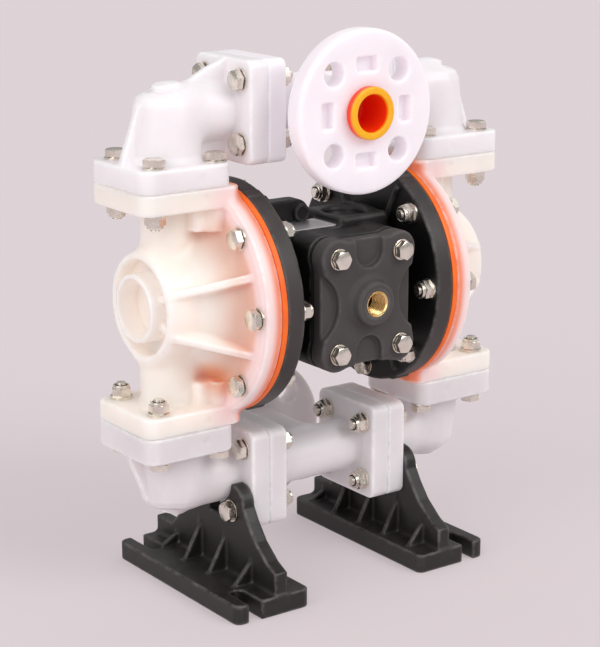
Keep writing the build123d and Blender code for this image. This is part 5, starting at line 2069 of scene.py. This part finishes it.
# ------------------------------------------------------------------ feet
@dataclass
class Feet:
    """Feet with slotted bases, arched webs, gusset ribs and two ears each."""

    span_x: Pair = (41.7, 94.0)
    span_y: Pair = (-64.6, 68.6)
    base: float = 12.0
    rib_half: float = 1.6
    outer_ribs: tuple[float, ...] = (-38.0, -11.0, 16.0, 43.0)
    inner_ribs: tuple[float, ...] = (-47.0, -21.5, 4.0, 29.5, 55.0)
    outer_reach: float = 79.0
    inner_reach: float = 46.0
    slot_x: float = 80.8
    slot_radius: float = 4.3
    slot_end: float = 46.0
    ear_radius: float = 12.0
    valley_z: float = -134.0
    back_z: float = -157.0
    arm_clear: float = 17.6

    def _web(self) -> Polygon:
        """Outline of the web in (y, z)."""
        floor = -SHAFT_HEIGHT
        front, back = self.span_y
        ear_z = 4.4 - SIZES.arm_z - SIZES.square_bolt
        bolt = SIZES.square_bolt
        rise = [(front + 1, floor + self.base - 4), (front + 1, -155.0), (-54.5, -150.5),
                (-43.0, -141.5), (-35.0, -131.5)]
        fall = [(35.0, -135.5), (42.0, -149.0), (50.0, self.back_z), (back - 1, self.back_z),
                (back - 1, floor + self.base - 4)]
        ears = arc((-bolt, ear_z), self.ear_radius, 180, 0, 14)
        ears += [(-bolt + self.ear_radius, self.valley_z), (bolt - self.ear_radius, self.valley_z)]
        ears += arc((bolt, ear_z), self.ear_radius, 180, 0, 14)
        return Polygon(tuple(rise + ears + fall))

    def _rib_top(self, y: float) -> float:
        """Height at which a rib meets the web."""
        if abs(y) < 32:
            return self.valley_z - 3
        return self.back_z - 1.5 if y > 0 else -149.0

    def shape(self) -> Mould:
        """Moulds the right foot."""
        floor = -SHAFT_HEIGHT
        top = floor + self.base
        (x0, x1), (y0, y1) = self.span_x, self.span_y
        mould = Mould((x0, y0, floor), (x1, y1, -100.0), 0.8)
        mould.add(block((x0, y0, floor), (x1, y1, top), 5.0, 1.1))
        mould.add(Slab(Axis.X, self._web(), *SIZES.foot_web, 0.9), 3.0)
        middle = sum(SIZES.foot_web) / 2
        for places, reach in ((self.outer_ribs, self.outer_reach),
                              (self.inner_ribs, self.inner_reach)):
            for y in places:
                section = Polygon(((middle, top - 3), (reach, top - 3), (reach, top + 0.8),
                                   (middle, self._rib_top(y))))
                mould.add(Slab(Axis.Y, section, y - self.rib_half, y + self.rib_half, 0.8), 2.2)
        return self._openings(mould)

    def _openings(self, mould: Mould) -> Mould:
        """Takes out the pipe's clearance and the floor slots."""
        floor, top = -SHAFT_HEIGHT, self.base - SHAFT_HEIGHT
        mould.cut(bar(Axis.X, (0, -SIZES.arm_z), self.arm_clear, 40, 90, 0))
        for side in (-1, 1):
            end = side * self.slot_end
            slot = Merged((Disc((self.slot_x, end), self.slot_radius),
                           Plate((self.slot_x, end + side * 20), (self.slot_radius, 20.0))), 0.0)
            mould.cut(Slab(Axis.Z, slot, floor - OVER, top + OVER, 0), 1.2)
        return mould

    def build(self, paint: Paintbox) -> None:
        """Makes both feet."""
        settle_pair(self.shape().skin(), paint, "foot", "stand", "foot")


# ------------------------------------------------------------------ fasteners
@dataclass
class Fasteners:
    """Every screw and lock nut of the pump, set out on its flange."""

    grip: float = 9.6
    chamber_angles: tuple[int, ...] = (0, 45, 135, 180, 225, 315)
    shank: float = 22.0
    chamber_shank: float = 24.0
    valve_shank: float = 30.0
    wide_head: Pair = (0.011, 0.0067)      # across flats and washer radius, in metres
    nut: Pair = (0.0106, 0.0066)           # the same

    def _chamber(self, x: float, outward: float) -> list[Place]:
        """Places of the six through screws of one cover, in the plane at x."""
        radius = SIZES.bolt_circle
        return [Place((x, radius * math.cos(math.radians(a)), radius * math.sin(math.radians(a))),
                      (outward, 0, 0), self.chamber_shank) for a in self.chamber_angles]

    def _ports(self, level: int, z: float, outward: float, outer_only: bool) -> list[Place]:
        """Places on the port flanges of one level."""
        s = SIZES
        steps = (1,) if outer_only else (1, -1)
        return [Place((side * (s.port_x + step * s.port_bolt_dx), y, level * z),
                      (0, 0, level * outward), self.shank)
                for side in (-1, 1) for step in steps for y in (-s.port_bolt_dy, s.port_bolt_dy)]

    def _manifold(self, level: int, x: float, outward: float, over_foot: float) -> list[Place]:
        """Places on the square flanges of one level; the low suction ones sit on the feet."""
        s = SIZES
        places = []
        for side in (-1, 1):
            for y in (-s.square_bolt, s.square_bolt):
                for dz in (-s.square_bolt, s.square_bolt):
                    extra = over_foot if level < 0 and dz < 0 else 0.0
                    places.append(Place((side * (x + extra), y, level * s.arm_z + dz),
                                        (side * outward, 0, 0), self.shank + extra))
        return places

    def build(self, paint: Paintbox, trees: RepeatTrees) -> None:
        """Makes every group."""
        s = SIZES
        web = s.foot_web[1] - s.foot_web[0]
        outer = s.square_split + s.square_thickness
        inner = s.square_split - s.square_thickness
        top, bottom = s.port_split + s.top_flange, s.port_split + s.bottom_flange
        radius = s.bolt_circle
        ends = [Place((side * s.chamber_back, 0, level * radius), (-side, 0, 0), self.shank)
                for side in (-1, 1) for level in (-1, 1)]
        x, z = s.valve_bolt
        lid = [Place((i * x, s.valve_face_y, j * z), (0, -1, 0), self.valve_shank)
               for i in (-1, 1) for j in (-1, 1)]
        flange = s.port_split - s.cover_flange
        wide, lock = (dict(zip(("Across Flats", "Washer Radius"), size))
                      for size in (self.wide_head, self.nut))
        screws = {
            "chamber": self._chamber(s.cover_face, 1) + self._chamber(-s.cover_face, -1) + ends,
            "discharge_port": self._ports(1, top, 1, False),
            "suction_port": self._ports(-1, bottom, 1, False),
            "discharge_manifold": self._manifold(1, outer, 1, 0.0),
            "suction_manifold": self._manifold(-1, outer, 1, web),
            "valve_lid": lid}
        for seed, (group, places) in enumerate(screws.items(), 1):
            size = {} if places is lid else wide
            piece = grow(group + "_screws", trees.screws, places, {
                "Seed": seed, "Finish": paint.get("stainless"), **size})
            self._settle(piece, group.replace("lid", "cover"), "bolts")
        nuts = {
            "chamber": self._chamber(s.chamber_back, -1) + self._chamber(-s.chamber_back, 1),
            "discharge_port": self._ports(1, flange, -1, True),
            "suction_port": self._ports(-1, flange, -1, True),
            "discharge_manifold": self._manifold(1, inner, -1, 0.0),
            "suction_manifold": self._manifold(-1, inner, -1, 0.0)}
        for seed, (group, places) in enumerate(nuts.items(), 11):
            piece = grow(group + "_lock_nuts", trees.nuts, places, {
                "Seed": seed, "Screw Reach": self.grip * MM, "Finish": paint.get("stainless"),
                "Insert Finish": paint.get("gasket"), **lock})
            self._settle(piece, group, "nuts")

    @staticmethod
    def _settle(piece: Piece, group: str, kind: str) -> None:
        """Lets a group ride on the pump and stand for its nodes."""
        node = f"{group}_{kind}"
        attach(piece, BODY)
        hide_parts(*([node + "_left", node + "_right"] if group == "chamber" else [node]))
        LOG.info("%s: %d faces, rides on %s", piece.name, len(piece.data.polygons), BODY)


# ------------------------------------------------------------------ carried-over solids
@dataclass
class InnerPieces:
    """Solids that are shown as they are, each with the finish of its material."""

    finishes: dict[str, str] = field(default_factory=lambda: {
        "inner_plate_left": "aluminium", "inner_plate_right": "aluminium",
        "outer_plate_left": "manifold", "outer_plate_right": "manifold",
        "shaft": "stainless", "pilot_rod": "stainless", "shaft_bushes": "white",
        "shaft_seals": "gasket", "valve_gasket": "gasket", "spool_sleeve": "aluminium",
        "valve_spool": "aluminium", "valve_end_plugs": "disc", "silencer": "disc",
        "discharge_seat_left": "white", "discharge_seat_right": "white",
        "suction_seat_left": "white", "suction_seat_right": "white",
        "discharge_ball_left": "white", "discharge_ball_right": "white",
        "suction_ball_left": "white", "suction_ball_right": "white"})

    def build(self, paint: Paintbox, nodes: dict[str, Piece]) -> None:
        """Dresses every carried-over node."""
        for name, finish in self.finishes.items():
            paint.dress_node(nodes[name], finish)
            LOG.info("%s keeps its solid, in %s", name, finish)


# ------------------------------------------------------------------ stage
@dataclass
class Studio:
    """Camera, soft lamps and a plain pale floor."""

    eye: Point = (-0.6645, -0.9160, 0.4525)
    turn: Point = (75.18, 0.0, -35.85)
    lens: float = 106.57
    backdrop: Colour = (0.723, 0.647, 0.672, 1)
    softboxes: tuple[tuple[Point, float, float, float], ...] = (
        ((0.42, -0.62, 0.66), 10.0, 26.0, 1.0), ((-0.88, -0.20, 0.43), 14.0, 34.0, 0.9),
        ((0.80, 0.30, 0.52), 8.0, 24.0, 0.8))
    floor_colour: Colour = (0.38, 0.340, 0.353, 1)
    floor_glow: float = 0.49
    floor_size: float = 14.0
    sky: Pair = (0.36, 0.56)             # strength at the horizon and overhead
    sky_colour: Colour = (1.0, 0.985, 0.985, 1)

    def camera(self) -> None:
        """Makes the camera."""
        data = bpy.data.cameras.new("camera")
        data.lens = self.lens
        data.sensor_width = 36.0
        camera = new_object("camera", data)
        camera.location = self.eye
        camera.rotation_euler = [math.radians(a) for a in self.turn]
        bpy.context.scene.camera = camera

    def _sun(self, name: str, power: float, spread: float, turn: Point) -> None:
        """Makes one lamp."""
        data = bpy.data.lights.new(name, "SUN")
        data.energy = power
        data.angle = math.radians(spread)
        new_object(name, data).rotation_euler = [math.radians(a) for a in turn]

    def lamps(self) -> None:
        """Makes a soft key lamp, a fill and a world that is bright above."""
        self._sun("key", 1.0, 34.0, (55.0, 0.0, 19.0))
        self._sun("fill", 0.75, 60.0, (60.0, 0.0, -70.0))
        world = bpy.data.worlds.new("studio")
        bpy.context.scene.world = world
        world.use_nodes = True
        tree = world.node_tree
        ground = tree.nodes["Background"]
        place = tree.nodes.new("ShaderNodeTexCoord").outputs["Generated"]
        parts = add_node(tree, "ShaderNodeSeparateXYZ", {0: place})
        level = add_node(tree, "ShaderNodeMapRange", {
            "Value": parts.outputs[2], "From Min": 0.0, "From Max": 1.0,
            "To Min": self.sky[0], "To Max": self.sky[1]}).outputs[0]
        for aim, inner, outer, gain in self.softboxes:
            facing = add_node(tree, "ShaderNodeVectorMath", {0: place, 1: aim},
                              operation="DOT_PRODUCT")
            patch = add_node(tree, "ShaderNodeMapRange", {
                "Value": facing.outputs["Value"], "From Min": math.cos(math.radians(outer)),
                "From Max": math.cos(math.radians(inner)), "To Min": 0.0, "To Max": gain},
                interpolation_type="SMOOTHSTEP")
            level = add_math(tree, "ADD", level, patch.outputs[0])
        path = tree.nodes.new("ShaderNodeLightPath")
        seen = add_node(tree, "ShaderNodeBackground", {"Color": self.backdrop,
                                                       "Strength": 1.0})
        tree.links.new(level, ground.inputs["Strength"])
        ground.inputs["Color"].default_value = self.sky_colour
        both = add_node(tree, "ShaderNodeMixShader", {
            0: path.outputs["Is Camera Ray"], 1: ground.outputs[0], 2: seen.outputs[0]})
        tree.links.new(both.outputs[0], tree.nodes["World Output"].inputs["Surface"])

    def floor(self) -> None:
        """Makes the floor."""
        half = self.floor_size / 2
        mesh = bpy.data.meshes.new("floor")
        mesh.from_pydata([(-half, -half, 0), (half, -half, 0), (half, half, 0), (-half, half, 0)],
                         [], [(0, 1, 2, 3)])
        floor = new_object("floor", mesh)
        material = bpy.data.materials.new("floor_paper")
        material.use_nodes = True
        feed(material.node_tree, material.node_tree.nodes["Principled BSDF"], {
            "Base Color": self.floor_colour, "Emission Color": self.backdrop,
            "Emission Strength": self.floor_glow, "Roughness": 1.0, "Specular IOR Level": 0.0})
        mesh.materials.append(material)

    def build(self) -> None:
        """Makes the whole stage."""
        self.camera()
        self.lamps()
        self.floor()
        bpy.context.scene.view_settings.view_transform = "Standard"


# ------------------------------------------------------------------ the whole pump
def main() -> None:
    """Builds the pump's visible pieces over the frame."""
    LOG.setLevel(logging.INFO)
    LOG.addHandler(logging.StreamHandler(sys.stdout))
    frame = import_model()
    Studio().build()
    paint = Paintbox()
    trees = RepeatTrees()
    FluidCovers().build(paint)
    Elbows().build(paint)
    Tees().build(paint)
    TransitPlugs().build(paint)
    Diaphragms().build(paint)
    AirChambers().build(paint)
    CentreBlock().build(paint)
    AirValve().build(paint, trees)
    Feet().build(paint)
    Fasteners().build(paint, trees)
    InnerPieces().build(paint, frame["nodes"])


if __name__ == "__main__":
    main()
